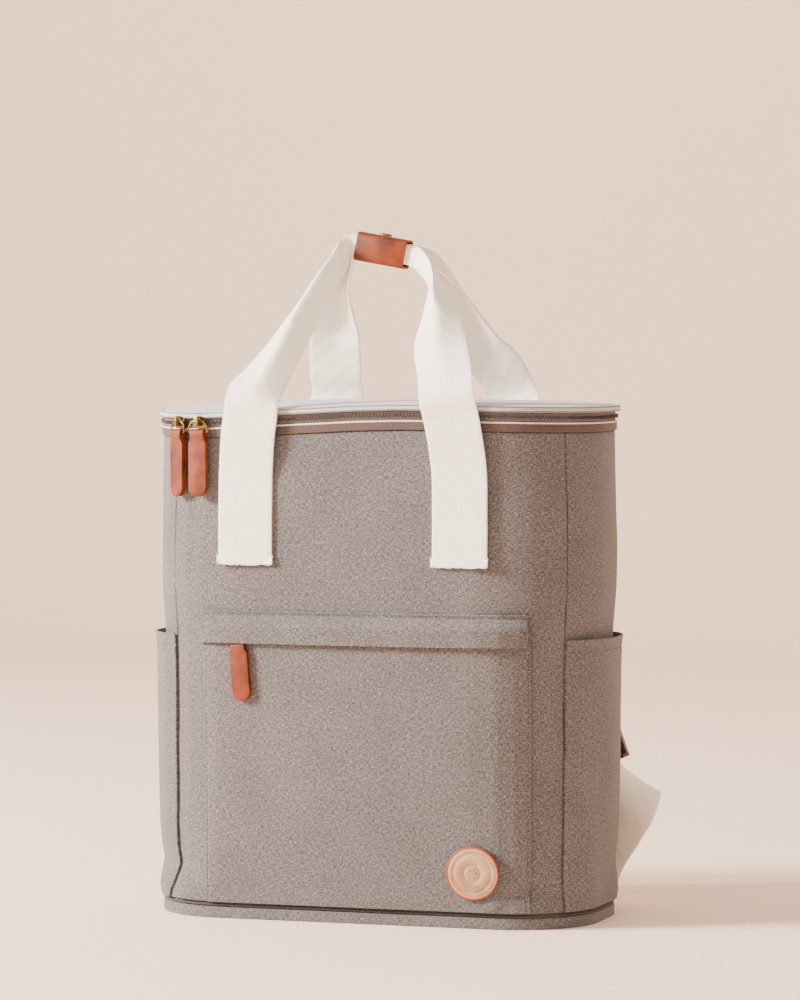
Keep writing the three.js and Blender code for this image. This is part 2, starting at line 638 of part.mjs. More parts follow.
function freeRow(row, side) {
  const x = (row.across * HANDLE_SPACING) / 2;
  const y = side * row.deep * (BAG_DEPTH / 2 + LID_OVERHANG + 1.5 * WEBBING_THICKNESS);
  const at = new THREE.Vector3(x, y, LID_TOP + row.rise * HANDLE_RISE);
  return { at, face: legFace(side, row.lean), fold: row.fold, gather: row.gather };
}

// The middle of flat webbing at x that clears the wall across its whole width
function besideWall(x, z, side, lift) {
  const inner = Math.sign(x) * Math.max(0, Math.abs(x) - WEBBING_WIDTH / 2);
  const skin = onSkin(faceStation(inner, z, side), z, 2 * SEAT + WEBBING_THICKNESS / 2 + lift);
  return skin.setX(x);
}

function sewnRows(x, side) {
  const out = LID_OVERHANG + SEAT;
  return SEWN_LEG.map((row) => {
    const z = HANDLE_FOOT + row.height * (LID_TOP - HANDLE_FOOT);
    const at = besideWall(x, z, side, row.lift * out);
    return { at, face: legFace(side, 0), fold: 0, gather: 1 };
  });
}

function gripPoint(along, y) {
  const x = GRIP_MIDDLE.x + along * Math.cos(GRIP_SLOPE);
  return new THREE.Vector3(x, y, GRIP_MIDDLE.z - along * Math.sin(GRIP_SLOPE));
}

function gripRows(side) {
  const end = SLEEVE_LENGTH / 2;
  const inside = end - SLEEVE_INSIDE;
  const past = end + SLEEVE_MARGIN;
  return [-past, -inside, 0, inside, past].map((along) => {
    const at = gripPoint(along, side * GRIP_OFFSET);
    return { at, face: new THREE.Vector3(0, 0, 1), fold: GRIP_FOLD, gather: GRIP_GATHER };
  });
}

function handle(leftLeg, rightLeg, side) {
  const half = HANDLE_SPACING / 2;
  const rows = [
    ...sewnRows(-half, side),
    ...leftLeg.map((row) => freeRow(row, side)),
    ...gripRows(side),
    ...rightLeg.map((row) => freeRow(row, side)),
    ...sewnRows(half, side).reverse(),
  ];
  return webbing(rows, 2);
}

function addHandles() {
  addPiece('front_handle', handle(FRONT_LEFT_LEG, FRONT_RIGHT_LEG, -1), webbingCotton());
  addPiece('back_handle', handle(BACK_LEFT_LEG, BACK_RIGHT_LEG, 1), webbingCotton());
  addPiece('handle_wrap', sleeve(), tanLeather());
  const radius = SNAP_DIAMETER / 2;
  const snap = new THREE.CylinderGeometry(radius - SNAP_BEVEL, radius, SNAP_THICKNESS, 16);
  snap.rotateX(Math.PI / 2);
  const mesh = addPiece('wrap_snap', closedGeometry(snap), agedBrass());
  mesh.rotation.y = GRIP_SLOPE;
  const up = new THREE.Vector3(Math.sin(GRIP_SLOPE), 0, Math.cos(GRIP_SLOPE));
  mesh.position.copy(gripPoint(0, 0)).addScaledVector(up, SLEEVE_HEIGHT / 2 + SEAT + SNAP_THICKNESS / 2);
}

// The leather sleeve: a rounded rectangle of leather, open at both ends
function sleeve() {
  const up = new THREE.Vector3(Math.sin(GRIP_SLOPE), 0, Math.cos(GRIP_SLOPE));
  const outline = (along, inset) => {
    const points = [];
    for (const [sy, sz, start] of [[1, 1, 0], [-1, 1, 90], [-1, -1, 180], [1, -1, 270]]) {
      for (let i = 0; i <= 4; i++) {
        const angle = THREE.MathUtils.degToRad(start + (90 * i) / 4);
        const y = sy * (SLEEVE_DEPTH / 2 - SLEEVE_CORNER) + (SLEEVE_CORNER - inset) * Math.cos(angle);
        const z = sz * (SLEEVE_HEIGHT / 2 - SLEEVE_CORNER) + (SLEEVE_CORNER - inset) * Math.sin(angle);
        points.push(gripPoint(along, y).addScaledVector(up, z));
      }
    }
    return points;
  };
  const half = SLEEVE_LENGTH / 2;
  const rings = [outline(-half, 0), outline(half, 0), outline(half, SLEEVE_WALL), outline(-half, SLEEVE_WALL)];
  return loft(rings, true);
}

function closedGeometry(source) {
  const bare = new THREE.BufferGeometry();
  bare.setAttribute('position', source.getAttribute('position'));
  if (source.index) bare.setIndex(source.index);
  return mergeVertices(bare, 1e-4);
}

function manifoldOf(source) {
  const merged = closedGeometry(source);
  const vertProperties = Float32Array.from(merged.getAttribute('position').array);
  const triVerts = Uint32Array.from(merged.index.array);
  return new wasm.Manifold(new wasm.Mesh({ numProp: 3, vertProperties, triVerts }));
}

function geometryFrom(solid) {
  const mesh = solid.getMesh();
  const geometry = new THREE.BufferGeometry();
  geometry.setAttribute('position', new THREE.BufferAttribute(Float32Array.from(mesh.vertProperties), 3));
  geometry.setIndex(Array.from(mesh.triVerts));
  return geometry;
}

// A leather strip folded over a ring's wire, with its two layers together and a round lower end. The wire's
// axis is the origin, x runs along it, and -y faces out.
function foldedTab(length) {
  const inner = RING_WIRE / 2 + SEAT;
  const outer = inner + TAB_LEATHER;
  const drop = 3 * outer;
  const side = new THREE.Shape();
  side.absarc(0, 0, outer, 0, Math.PI, false);
  side.bezierCurveTo(-outer, -drop / 2, -TAB_LEATHER, -drop / 2, -TAB_LEATHER, -drop);
  side.lineTo(-TAB_LEATHER, outer - length);
  side.lineTo(TAB_LEATHER, outer - length);
  side.lineTo(TAB_LEATHER, -drop);
  side.bezierCurveTo(TAB_LEATHER, -drop / 2, outer, -drop / 2, outer, 0);
  const eye = new THREE.Path();
  eye.absarc(0, 0, inner, 0, 2 * Math.PI, true);
  side.holes.push(eye);
  const strip = new THREE.ExtrudeGeometry(side, { depth: TAB_WIDTH, bevelEnabled: false, curveSegments: 4 });
  strip.translate(0, 0, -TAB_WIDTH / 2);
  strip.rotateX(Math.PI / 2);
  strip.rotateZ(Math.PI / 2);
  const cutter = new THREE.ExtrudeGeometry(tabOutline(length, outer), {
    depth: 4 * outer, bevelEnabled: false, curveSegments: 6,
  });
  cutter.translate(0, 0, -2 * outer);
  cutter.rotateX(Math.PI / 2);
  return geometryFrom(manifoldOf(strip).intersect(manifoldOf(cutter)));
}

// The tab seen from the front: a little narrower at the fold, straight sides and a round lower end
function tabOutline(length, top) {
  const half = TAB_WIDTH / 2;
  const neck = half - TAB_NECK;
  const outline = new THREE.Shape();
  const shoulder = 0.6 * half;
  outline.moveTo(-neck, top + SEWN);
  outline.lineTo(-neck, -shoulder);
  outline.lineTo(-half, -shoulder - 2 * TAB_NECK);
  outline.absarc(0, top - length + half, half, Math.PI, 2 * Math.PI, false);
  outline.lineTo(half, -shoulder - 2 * TAB_NECK);
  outline.lineTo(neck, -shoulder);
  outline.lineTo(neck, top + SEWN);
  return outline;
}

// A D-shaped wire ring: its bar lies on the x axis and its bow rises above it. x is a share of half the
// ring's width and z of its height.
const RING_BOW = [
  { x: 0.78, z: 0 },
  { x: 0.94, z: 0.07 },
  { x: 1, z: 0.3 },
  { x: 0.9, z: 0.6 },
  { x: 0.68, z: 0.84 },
  { x: 0.36, z: 0.96 },
  { x: 0, z: 1 },
];

function ringGeometry() {
  const half = TAB_WIDTH / 2 + RING_WIRE / 2;
  const mirrored = RING_BOW.slice(0, -1).reverse().map(({ x, z }) => ({ x: -x, z }));
  const points = [...RING_BOW, ...mirrored].map(({ x, z }) => new THREE.Vector3(x * half, 0, z * RING_HEIGHT));
  const side = new THREE.Vector3(0, 1, 0);
  const rings = points.map((at, i) => {
    const before = points[(i + points.length - 1) % points.length];
    const tangent = new THREE.Vector3().subVectors(points[(i + 1) % points.length], before).normalize();
    const out = new THREE.Vector3().crossVectors(tangent, side);
    return roundSection(RING_WIRE / 2, 6, 0, 0).map((p) => {
      return at.clone().addScaledVector(out, p.lift).addScaledVector(side, p.z);
    });
  });
  return loft(rings, true);
}

function block(low, high) {
  const size = new THREE.Vector3().subVectors(high, low);
  const box = new THREE.BoxGeometry(size.x, size.y, size.z);
  box.translate((low.x + high.x) / 2, (low.y + high.y) / 2, (low.z + high.z) / 2);
  return manifoldOf(box);
}

const corner = (x, y, z) => new THREE.Vector3(x, y, z);

// A slider: a plate on the chain and a bridge in front of it, with a hole that the ring's bow runs through.
// The origin is on the chain's middle line at the plate's back.
function sliderGeometry() {
  const half = SLIDER_WIDTH / 2;
  const top = ZIP_HEIGHT / 2 - SEAT;
  const plate = block(corner(-half, -SLIDER_PLATE, top - SLIDER_HEIGHT), corner(half, 0, top));
  const reach = SLIDER_PLATE + 2 * BRIDGE_CLEARANCE + RING_WIRE + BRIDGE_THICKNESS;
  const ringTop = BRIDGE_CENTRE + RING_WIRE / 2 + BRIDGE_CLEARANCE;
  const ringLow = BRIDGE_CENTRE - RING_WIRE / 2 - BRIDGE_CLEARANCE;
  const bridge = block(
    corner(-BRIDGE_WIDTH / 2, -reach, ringLow - 2 * BRIDGE_THICKNESS),
    corner(BRIDGE_WIDTH / 2, BRIDGE_BITE - SLIDER_PLATE, ringTop + BRIDGE_THICKNESS),
  );
  const hole = block(
    corner(-SLIDER_WIDTH, BRIDGE_THICKNESS - reach, ringLow),
    corner(SLIDER_WIDTH, -SLIDER_PLATE, ringTop),
  );
  return geometryFrom(plate.add(bridge.subtract(hole)));
}

function addPulls() {
  const lift = 2 * SEAT + ZIP_CHAIN_THICKNESS;
  const ringLift = SLIDER_PLATE + BRIDGE_CLEARANCE + RING_WIRE / 2;
  const z = (ZIP_BOTTOM + ZIP_TOP) / 2;
  const rightX = -(HANDLE_SPACING + WEBBING_WIDTH) / 2 - SLIDER_PAST_HANDLE;
  const places = {
    left: { x: rightX - SLIDER_SPACING, turn: 0 },
    right: { x: rightX, turn: RIGHT_TAB_TURN },
  };
  for (const [name, { x, turn }] of Object.entries(places)) {
    const station = faceStation(x, z, -1);
    const frame = new THREE.Group();
    frame.position.copy(onSkin(station, z, lift));
    frame.rotation.z = Math.atan2(station.nx, -station.ny);
    const slider = new THREE.Mesh(sliderGeometry(), agedBrass());
    slider.name = `zip_slider_${name}`;
    const hanging = new THREE.Group();
    hanging.position.set(0, -ringLift, BRIDGE_CENTRE - RING_HEIGHT);
    hanging.rotation.z = THREE.MathUtils.degToRad(turn);
    const ring = new THREE.Mesh(ringGeometry(), agedBrass());
    ring.name = `slider_ring_${name}`;
    const tab = new THREE.Mesh(foldedTab(TAB_LENGTH), tanLeather());
    tab.name = `pull_tab_${name}`;
    hanging.add(ring, tab);
    frame.add(slider, hanging);
    backpack.add(frame);
  }
}

// The front pocket's pull: a tab that comes out from under the flap, and the hidden slider above it
function addPocketPull() {
  const flapBottom = FLAP_TOP - FLAP_HEIGHT;
  const thin = FLAP_ROOM - 2 * SEWN;
  const frame = new THREE.Group();
  const onPocket = (x) => {
    return onSkin(faceStation(x, flapBottom, -1), flapBottom, pocketLiftAt(x, flapBottom) + SEWN);
  };
  const left = onPocket(POCKET_PULL_X - TAB_WIDTH / 2);
  const right = onPocket(POCKET_PULL_X + TAB_WIDTH / 2);
  frame.position.lerpVectors(left, right, 0.5);
  frame.rotation.y = THREE.MathUtils.degToRad(-POCKET_TAB_TILT);
  frame.rotation.z = Math.atan2(right.y - left.y, right.x - left.x);
  const outline = tabOutline(POCKET_TAB_LENGTH + TAB_UNDER_FLAP, TAB_UNDER_FLAP);
  const thick = { depth: 2 * TAB_LEATHER, bevelEnabled: false, curveSegments: 6 };
  const whole = new THREE.ExtrudeGeometry(outline, thick);
  whole.rotateX(Math.PI / 2);
  const room = 2 * TAB_WIDTH;
  const step = block(corner(-room, -room, -SEWN - SEAT), corner(room, -thin, room));
  const end = block(corner(-room, -room, TAB_UNDER_FLAP), corner(room, room, room));
  const tab = new THREE.Mesh(geometryFrom(manifoldOf(whole).subtract(step).subtract(end)), tanLeather());
  tab.name = 'pocket_pull_tab';
  const low = TAB_UNDER_FLAP + SEAT;
  const high = low + POCKET_SLIDER_HEIGHT;
  const size = SLIDER_WIDTH / 2;
  const plate = block(corner(-size, -thin, low), corner(size, 0, high));
  const slider = new THREE.Mesh(geometryFrom(plate), agedBrass());
  slider.name = 'pocket_slider';
  frame.add(tab, slider);
  backpack.add(frame);
}

// The shoulder straps from the top of the back down to the foot: across is a share of half the bag's width,
// out of the straps' bulge, height of the height of their upper end. The face columns are the side that shows,
// where y points away from the bag's back.
const RIGHT_STRAP = [
  { across: 0.2, out: 0, height: 1, faceX: 0, faceY: 1, faceZ: 0, gather: 1 },
  { across: 0.22, out: 0, height: 0.93, faceX: 0, faceY: 1, faceZ: 0, gather: 1 },
  { across: 0.26, out: 0.14, height: 0.87, faceX: 0, faceY: 1, faceZ: 0.1, gather: 1 },
  { across: 0.36, out: 0.62, height: 0.77, faceX: 0, faceY: 1, faceZ: 0.3, gather: 1 },
  { across: 0.48, out: 0.95, height: 0.65, faceX: 0, faceY: 1, faceZ: 0.1, gather: 1 },
  { across: 0.6, out: 1, height: 0.53, faceX: 0, faceY: 1, faceZ: 0, gather: 1 },
  { across: 0.69, out: 0.85, height: 0.42, faceX: 0, faceY: 1, faceZ: -0.2, gather: 1 },
  { across: 0.735, out: 0.64, height: 0.325, faceX: 0, faceY: 1, faceZ: -0.2, gather: 1 },
  { across: 0.83, out: 0.56, height: 0.275, faceX: 0.3, faceY: 0.7, faceZ: 0.6, gather: 0.9 },
  { across: 0.92, out: 0.52, height: 0.285, faceX: 0.5, faceY: 0.4, faceZ: 0.75, gather: 0.8 },
  { across: 0.985, out: 0.42, height: 0.275, faceX: 0.5, faceY: 0.1, faceZ: 0.85, gather: 0.85 },
  { across: 1, out: 0.26, height: 0.266, faceX: 0.34, faceY: 0, faceZ: 0.94, gather: 0.95 },
  { across: 0.985, out: 0.13, height: 0.237, faceX: 0.2, faceY: -0.8, faceZ: 0.4, gather: 1 },
  { across: 0.91, out: 0.07, height: 0.175, faceX: 0, faceY: -1, faceZ: 0.1, gather: 1 },
  { across: 0.82, out: 0.03, height: 0.11, faceX: 0, faceY: -1, faceZ: 0, gather: 1 },
  { across: 0.77, out: 0, height: 0.055, faceX: 0, faceY: -1, faceZ: 0, gather: 1 },
];
const LEFT_STRAP = [
  { across: -0.2, out: 0, height: 1, faceX: 0, faceY: 1, faceZ: 0, gather: 1 },
  { across: -0.22, out: 0, height: 0.93, faceX: 0, faceY: 1, faceZ: 0, gather: 1 },
  { across: -0.26, out: 0.14, height: 0.87, faceX: 0, faceY: 1, faceZ: 0.1, gather: 1 },
  { across: -0.36, out: 0.62, height: 0.77, faceX: 0, faceY: 1, faceZ: 0.3, gather: 1 },
  { across: -0.47, out: 0.95, height: 0.65, faceX: 0, faceY: 1, faceZ: 0.1, gather: 1 },
  { across: -0.58, out: 1, height: 0.53, faceX: 0, faceY: 1, faceZ: 0, gather: 1 },
  { across: -0.65, out: 0.92, height: 0.43, faceX: 0, faceY: 1, faceZ: -0.1, gather: 1 },
  { across: -0.69, out: 0.8, height: 0.365, faceX: 0, faceY: 1, faceZ: -0.2, gather: 1 },
  { across: -0.72, out: 0.62, height: 0.29, faceX: 0, faceY: 1, faceZ: -0.3, gather: 1 },
  { across: -0.74, out: 0.36, height: 0.2, faceX: 0, faceY: 1, faceZ: -0.3, gather: 1 },
  { across: -0.74, out: 0.12, height: 0.11, faceX: 0, faceY: 1, faceZ: -0.2, gather: 1 },
  { across: -0.73, out: 0, height: 0.055, faceX: 0, faceY: 1, faceZ: 0, gather: 1 },
];
const BUCKLE_ROW = 7;

// Rows of a strap, with the webbing held straight where it runs through its adjuster
function strapRows(table) {
  const rows = table.map((row) => {
    const at = besideWall((row.across * BAG_WIDTH) / 2, row.height * STRAP_TOP, 1, 0);
    at.y += row.out * STRAP_BULGE;
    return { at, face: new THREE.Vector3(row.faceX, row.faceY, row.faceZ), fold: 0, gather: row.gather };
  });
  const held = rows[BUCKLE_ROW];
  const along = new THREE.Vector3().subVectors(rows[BUCKLE_ROW + 1].at, rows[BUCKLE_ROW - 1].at).normalize();
  const reach = BUCKLE_HEIGHT / 2 + WEBBING_THICKNESS;
  const before = { ...held, at: held.at.clone().addScaledVector(along, -reach) };
  const after = { ...held, at: held.at.clone().addScaledVector(along, reach) };
  return [...rows.slice(0, BUCKLE_ROW), before, held, after, ...rows.slice(BUCKLE_ROW + 1)];
}

// A three-bar adjuster: the outer bars lie on the webbing's face and the middle bar behind it
function adjuster() {
  const half = BUCKLE_WIDTH / 2;
  const inner = WEBBING_WIDTH / 2 + 2 * SEAT;
  const rise = BUCKLE_HEIGHT / 2;
  const skin = WEBBING_THICKNESS / 2 + 2 * SEAT;
  const bar = skin + BUCKLE_RAIL;
  const left = block(corner(-half, -rise, -bar), corner(-inner, rise, bar));
  const right = block(corner(inner, -rise, -bar), corner(half, rise, bar));
  const top = block(corner(-half, rise - BUCKLE_BAR, skin), corner(half, rise, bar));
  const low = block(corner(-half, -rise, skin), corner(half, BUCKLE_BAR - rise, bar));
  const middle = block(corner(-half, -BUCKLE_BAR / 2, -bar), corner(half, BUCKLE_BAR / 2, -skin));
  return geometryFrom(left.add(right).add(top).add(low).add(middle));
}

function addStraps() {
  for (const [name, table] of Object.entries({ right: RIGHT_STRAP, left: LEFT_STRAP })) {
    const rows = strapRows(table);
    addPiece(`shoulder_strap_${name}`, webbing(rows, 2), webbingCotton());
    const held = rows[BUCKLE_ROW + 1];
    const along = new THREE.Vector3().subVectors(rows[BUCKLE_ROW + 2].at, held.at).normalize();
    const face = held.face.clone();
    face.addScaledVector(along, -face.dot(along)).normalize();
    const across = new THREE.Vector3().crossVectors(along, face);
    const mesh = addPiece(`strap_slider_${name}`, adjuster(), darkMetal());
    mesh.quaternion.setFromRotationMatrix(new THREE.Matrix4().makeBasis(across, along, face));
    mesh.position.copy(held.at);
  }
}

addBase();
addWalls();
addRim();
addLid();
addFrontPocket();
addPocketPull();
addSidePockets();
addPatch();
addPulls();
addHandles();
addStraps();

export default backpack;
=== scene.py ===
# %% [markdown]
# # Dressing a cooler backpack
# The bag's sizes and places come from its CAD model, which is loaded as a fixed frame. Each soft piece of
# the CAD model is plain, so this lesson makes a finer one in its place: padded walls, cotton webbing,
# leather pulls and a coil zip, with a woven, leather or brass finish on each.

# %% Open the frame
import math

import bmesh
import bpy
import numpy as np
from mathutils import Matrix, Vector, noise
from mathutils.bvhtree import BVHTree


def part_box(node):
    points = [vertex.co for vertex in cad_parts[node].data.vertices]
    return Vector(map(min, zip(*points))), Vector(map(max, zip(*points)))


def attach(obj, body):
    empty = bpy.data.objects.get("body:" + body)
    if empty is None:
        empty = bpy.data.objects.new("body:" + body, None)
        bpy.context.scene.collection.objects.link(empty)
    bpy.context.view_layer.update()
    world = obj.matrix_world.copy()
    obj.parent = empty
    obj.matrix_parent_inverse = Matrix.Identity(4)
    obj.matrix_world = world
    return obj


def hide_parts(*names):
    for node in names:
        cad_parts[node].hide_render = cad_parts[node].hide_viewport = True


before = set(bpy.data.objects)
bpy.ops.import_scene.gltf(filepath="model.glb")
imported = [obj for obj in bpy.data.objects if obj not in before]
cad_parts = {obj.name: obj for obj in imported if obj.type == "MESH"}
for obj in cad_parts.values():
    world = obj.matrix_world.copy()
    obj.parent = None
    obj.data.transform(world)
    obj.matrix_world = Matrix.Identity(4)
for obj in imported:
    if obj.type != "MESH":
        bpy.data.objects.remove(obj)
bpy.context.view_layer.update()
scene = bpy.context.scene
MM = 0.001
print("nodes:", len(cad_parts))

# %% [markdown]
# ## The camera
# It stands a little right of the front and looks slightly down, from far off with a long lens, as a
# photographer does to keep a bag's upright edges straight.

# %% Place the camera
TURN = math.radians(18.246)
LOOK = math.radians(18.246 - 0.161)
TILT = math.radians(1.849)
AWAY = 2.88652
EYE_HEIGHT = 0.37668

camera = bpy.data.objects.new("camera", bpy.data.cameras.new("camera"))
camera.data.lens = 151.0
camera.data.sensor_width = 36
camera.location = (AWAY * math.sin(TURN), -AWAY * math.cos(TURN), EYE_HEIGHT)
camera.rotation_euler = (math.pi / 2 - TILT, 0, LOOK)
scene.collection.objects.link(camera)
scene.camera = camera
print("camera at", [round(c, 3) for c in camera.location])

# %% [markdown]
# ## Finishes
# A finish is a material made of nodes. This small helper adds one node a call and links what it is given,
# which keeps each finish short enough to read as a recipe.


# %% A helper for finishes
class Finish:
    def __init__(self, name, **sockets):
        self.material = bpy.data.materials.new(name)
        self.material.use_nodes = True
        self.tree = self.material.node_tree
        self.shader = self.tree.nodes["Principled BSDF"]
        for key, value in sockets.items():
            self.feed(self.shader, key.replace("_", " "), value)

    def feed(self, node, key, value):
        if isinstance(value, bpy.types.NodeSocket):
            self.tree.links.new(value, node.inputs[key])
        else:
            node.inputs[key].default_value = value

    def node(self, kind, inputs, out=0, **settings):
        made = self.tree.nodes.new("ShaderNode" + kind)
        for key, value in settings.items():
            setattr(made, key, value)
        for key, value in inputs.items():
            self.feed(made, key, value)
        return made.outputs[out]

    def cut(self):
        return self.node("UVMap", {}, uv_map="cut")

    def place(self):
        return self.node("TexCoord", {}, out="Object")

    def stretch(self, vector, scale):
        return self.node("VectorMath", {0: vector, 1: scale}, operation="MULTIPLY")

    def noise(self, vector, scale=1.0, detail=2.0, rough=0.5):
        return self.node("TexNoise", {"Vector": vector, "Scale": scale, "Detail": detail, "Roughness": rough})

    def math(self, operation, a, b=0.0):
        return self.node("Math", {0: a, 1: b}, operation=operation)

    def total(self, *shares):
        """Adds values, each multiplied by its share."""
        parts = [self.math("MULTIPLY", value, share) for value, share in shares]
        made = parts[0]
        for part in parts[1:]:
            made = self.math("ADD", made, part)
        return made

    def ramp(self, value, stops):
        made = self.tree.nodes.new("ShaderNodeValToRGB")
        self.feed(made, "Fac", value)
        points = made.color_ramp.elements
        while len(points) < len(stops):
            points.new(0.5)
        for point, (at, color) in zip(points, stops):
            point.position = at
            point.color = (*color, 1)
        return made.outputs["Color"]

    def blend(self, factor, a, b, kind="MIX"):
        made = self.tree.nodes.new("ShaderNodeMix")
        made.data_type = "RGBA"
        made.blend_type = kind
        for index, value in ((0, factor), (6, a), (7, b)):
            if isinstance(value, tuple):
                value = (*value, 1)
            self.feed(made, index, value)
        return made.outputs[2]

    def bump(self, height, distance, strength=1.0):
        normal = self.node("Bump", {"Height": height, "Distance": distance, "Strength": strength})
        self.feed(self.shader, "Normal", normal)

    def color(self, value):
        self.feed(self.shader, "Base Color", value)
        return self.material


def tone(red, green, blue):
    """A colour as it looks on a screen, from 0 to 255, turned into light."""
    return tuple(((c / 255 + 0.055) / 1.055) ** 2.4 if c > 10 else c / 3294 for c in (red, green, blue))


# %% [markdown]
# ## Cloth finishes
# The bag's cloth is a melange: pale and dark fibres are spun together, so each thread changes its tone
# along its length. Two noises stretched along and across the cut give those threads, and the same noises
# lift them as bump, so the colour and the relief agree. The cut is the piece's own flat layout in metres.


# %% Make the melange cloth
def melange(name, dark, middle, pale):
    made = Finish(name, Roughness=0.95)
    made.shader.inputs["Sheen Weight"].default_value = 0.15
    made.shader.inputs["Sheen Roughness"].default_value = 0.6
    made.shader.inputs["Specular IOR Level"].default_value = 0.2
    cut = made.cut()
    warp = made.noise(made.stretch(cut, (1750, 430, 1)), detail=1.5, rough=0.55)
    weft = made.noise(made.stretch(cut, (390, 1650, 1)), detail=1.5, rough=0.55)
    fleck = made.noise(made.stretch(cut, (1600, 1600, 1)), detail=1.0)
    cloud = made.noise(made.stretch(cut, (28, 28, 1)), detail=3.0)
    threads = made.total((warp, 0.38), (weft, 0.36), (fleck, 0.26))
    shades = made.ramp(threads, [(0.37, dark), (0.5, middle), (0.63, pale)])
    soft = made.ramp(cloud, [(0.35, (0.93, 0.93, 0.93)), (0.65, (1.05, 1.05, 1.05))])
    made.bump(threads, 0.0005, 0.55)
    return made.color(made.blend(1.0, shades, soft, "MULTIPLY"))


GREY_CLOTH = melange("grey_melange", tone(55, 48, 48), tone(92, 85, 84), tone(136, 130, 130))
LID_CLOTH = melange("lid_cloth", tone(166, 159, 158), tone(188, 182, 182), tone(206, 201, 201))
TRIM_CLOTH = melange("taupe_binding", tone(70, 55, 50), tone(82, 65, 60), tone(94, 77, 70))
DARK_CLOTH = melange("dark_tape", tone(46, 38, 38), tone(60, 50, 49), tone(78, 66, 64))
ZIP_CLOTH = melange("zip_tape_cloth", tone(96, 84, 84), tone(114, 102, 102), tone(132, 120, 120))
# The pale cord's colour is a painted highlight: light catching the top edge of the binding.
HIGHLIGHT_CORD_CLOTH = melange("pale_highlight_cord", tone(196, 186, 178), tone(216, 206, 198), tone(232, 224, 216))
print("cloth finishes:", GREY_CLOTH.name, LID_CLOTH.name, TRIM_CLOTH.name, DARK_CLOTH.name)

# %% [markdown]
# ## Webbing, thread, leather and metal
# Cotton webbing is a dense twill: fine diagonal ribs with a soft, dry surface. Leather is a pebbled skin,
# so a cell pattern makes its grain and a slow noise its uneven dye. Brass goes dark where it isn't rubbed.


# %% Make the other finishes
def cotton(name, base, shade, rib=0.0011):
    made = Finish(name, Roughness=0.9)
    made.shader.inputs["Sheen Weight"].default_value = 0.2
    made.shader.inputs["Specular IOR Level"].default_value = 0.2
    cut = made.cut()
    ribs = made.node("TexWave", {"Vector": cut, "Scale": 1 / (rib * 20), "Distortion": 0.6, "Detail": 1.0},
                     out="Fac", bands_direction="DIAGONAL")
    fuzz = made.noise(made.stretch(cut, (1100, 420, 1)), detail=3.0)
    made.bump(made.total((ribs, 0.3), (fuzz, 0.8)), 0.0006, 0.8)
    cloud = made.noise(made.stretch(cut, (60, 60, 1)), detail=2.0)
    return made.color(made.ramp(made.total((fuzz, 0.7), (cloud, 0.3)), [(0.32, shade), (0.56, base)]))


def leather(name, base, deep, grain=1500.0):
    made = Finish(name, Roughness=0.45)
    made.shader.inputs["Specular IOR Level"].default_value = 0.3
    place = made.place()
    cells = made.node("TexVoronoi", {"Vector": place, "Scale": grain}, feature="DISTANCE_TO_EDGE")
    dye = made.noise(place, 90.0, 4.0)
    pores = made.noise(place, 2600.0, 2.0)
    made.bump(made.total((made.math("MINIMUM", cells, 0.25), 1.0), (pores, 0.3)), 0.0004, 0.5)
    made.feed(made.shader, "Roughness", made.math("ADD", made.math("MULTIPLY", dye, 0.3), 0.32))
    return made.color(made.ramp(dye, [(0.35, deep), (0.6, base)]))


def metal(name, bright, dark, rough):
    made = Finish(name, Metallic=1.0, Roughness=rough)
    place = made.place()
    tarnish = made.noise(place, 420.0, 4.0, 0.7)
    made.feed(made.shader, "Roughness", made.math("ADD", made.math("MULTIPLY", tarnish, 0.25), rough - 0.1))
    made.bump(made.noise(place, 2200.0, 2.0), 0.0001, 0.3)
    return made.color(made.ramp(tarnish, [(0.38, dark), (0.58, bright)]))


COTTON = cotton("cotton_twill", tone(254, 246, 233), tone(243, 230, 213))
COTTON_THREAD = cotton("cotton_thread", tone(226, 212, 194), tone(206, 190, 170), 0.0003)
TAN_LEATHER = leather("tan_leather", tone(124, 48, 4), tone(88, 30, 2))
TAN_THREAD = leather("tan_thread", tone(96, 40, 22), tone(78, 32, 18))
PALE_LEATHER = leather("pale_leather", tone(184, 142, 112), tone(164, 120, 90), 1900.0)
RUST_EDGE = leather("painted_edge", tone(150, 70, 38), tone(124, 52, 28))
BRASS = metal("aged_brass", tone(150, 118, 70), tone(84, 64, 40), 0.36)
DARK_METAL = metal("dark_metal", tone(74, 62, 56), tone(44, 37, 34), 0.4)
print("finishes:", len(bpy.data.materials))

# %% [markdown]
# ## Where things are on the bag
# The bag's outline is a rectangle with large round corners. Many pieces run round it, so these helpers turn
# a place into the distance round the bag, and find the way out of the bag at a place.

# %% Find places on the bag
BAG_WIDTH, BAG_DEPTH, CORNER = 320 * MM, 154 * MM, 70 * MM
LONG_FLAT, SHORT_FLAT = BAG_WIDTH / 2 - CORNER, BAG_DEPTH / 2 - CORNER
QUARTER_ROUND = LONG_FLAT + CORNER * math.pi / 2 + SHORT_FLAT


def outward(point):
    """The level direction straight out of the bag at a place."""
    x = point[0] - max(-LONG_FLAT, min(LONG_FLAT, point[0]))
    y = point[1] - max(-SHORT_FLAT, min(SHORT_FLAT, point[1]))
    way = Vector((x, y, 0))
    return way.normalized() if way.length > 1e-9 else Vector((0, 0, 1))


def round_the_bag(point, fold_back=False):
    """The distance round the bag from the middle of the front, or of the back when that is folded over."""
    across, deep = abs(point[0]), abs(point[1])
    turn = math.atan2(max(across - LONG_FLAT, 0), max(deep - SHORT_FLAT, 1e-9))
    far = min(across, LONG_FLAT) + CORNER * turn + SHORT_FLAT - min(deep, SHORT_FLAT)
    if point[1] > 0 and not fold_back:
        far = 2 * QUARTER_ROUND - far
    return math.copysign(far, point[0])


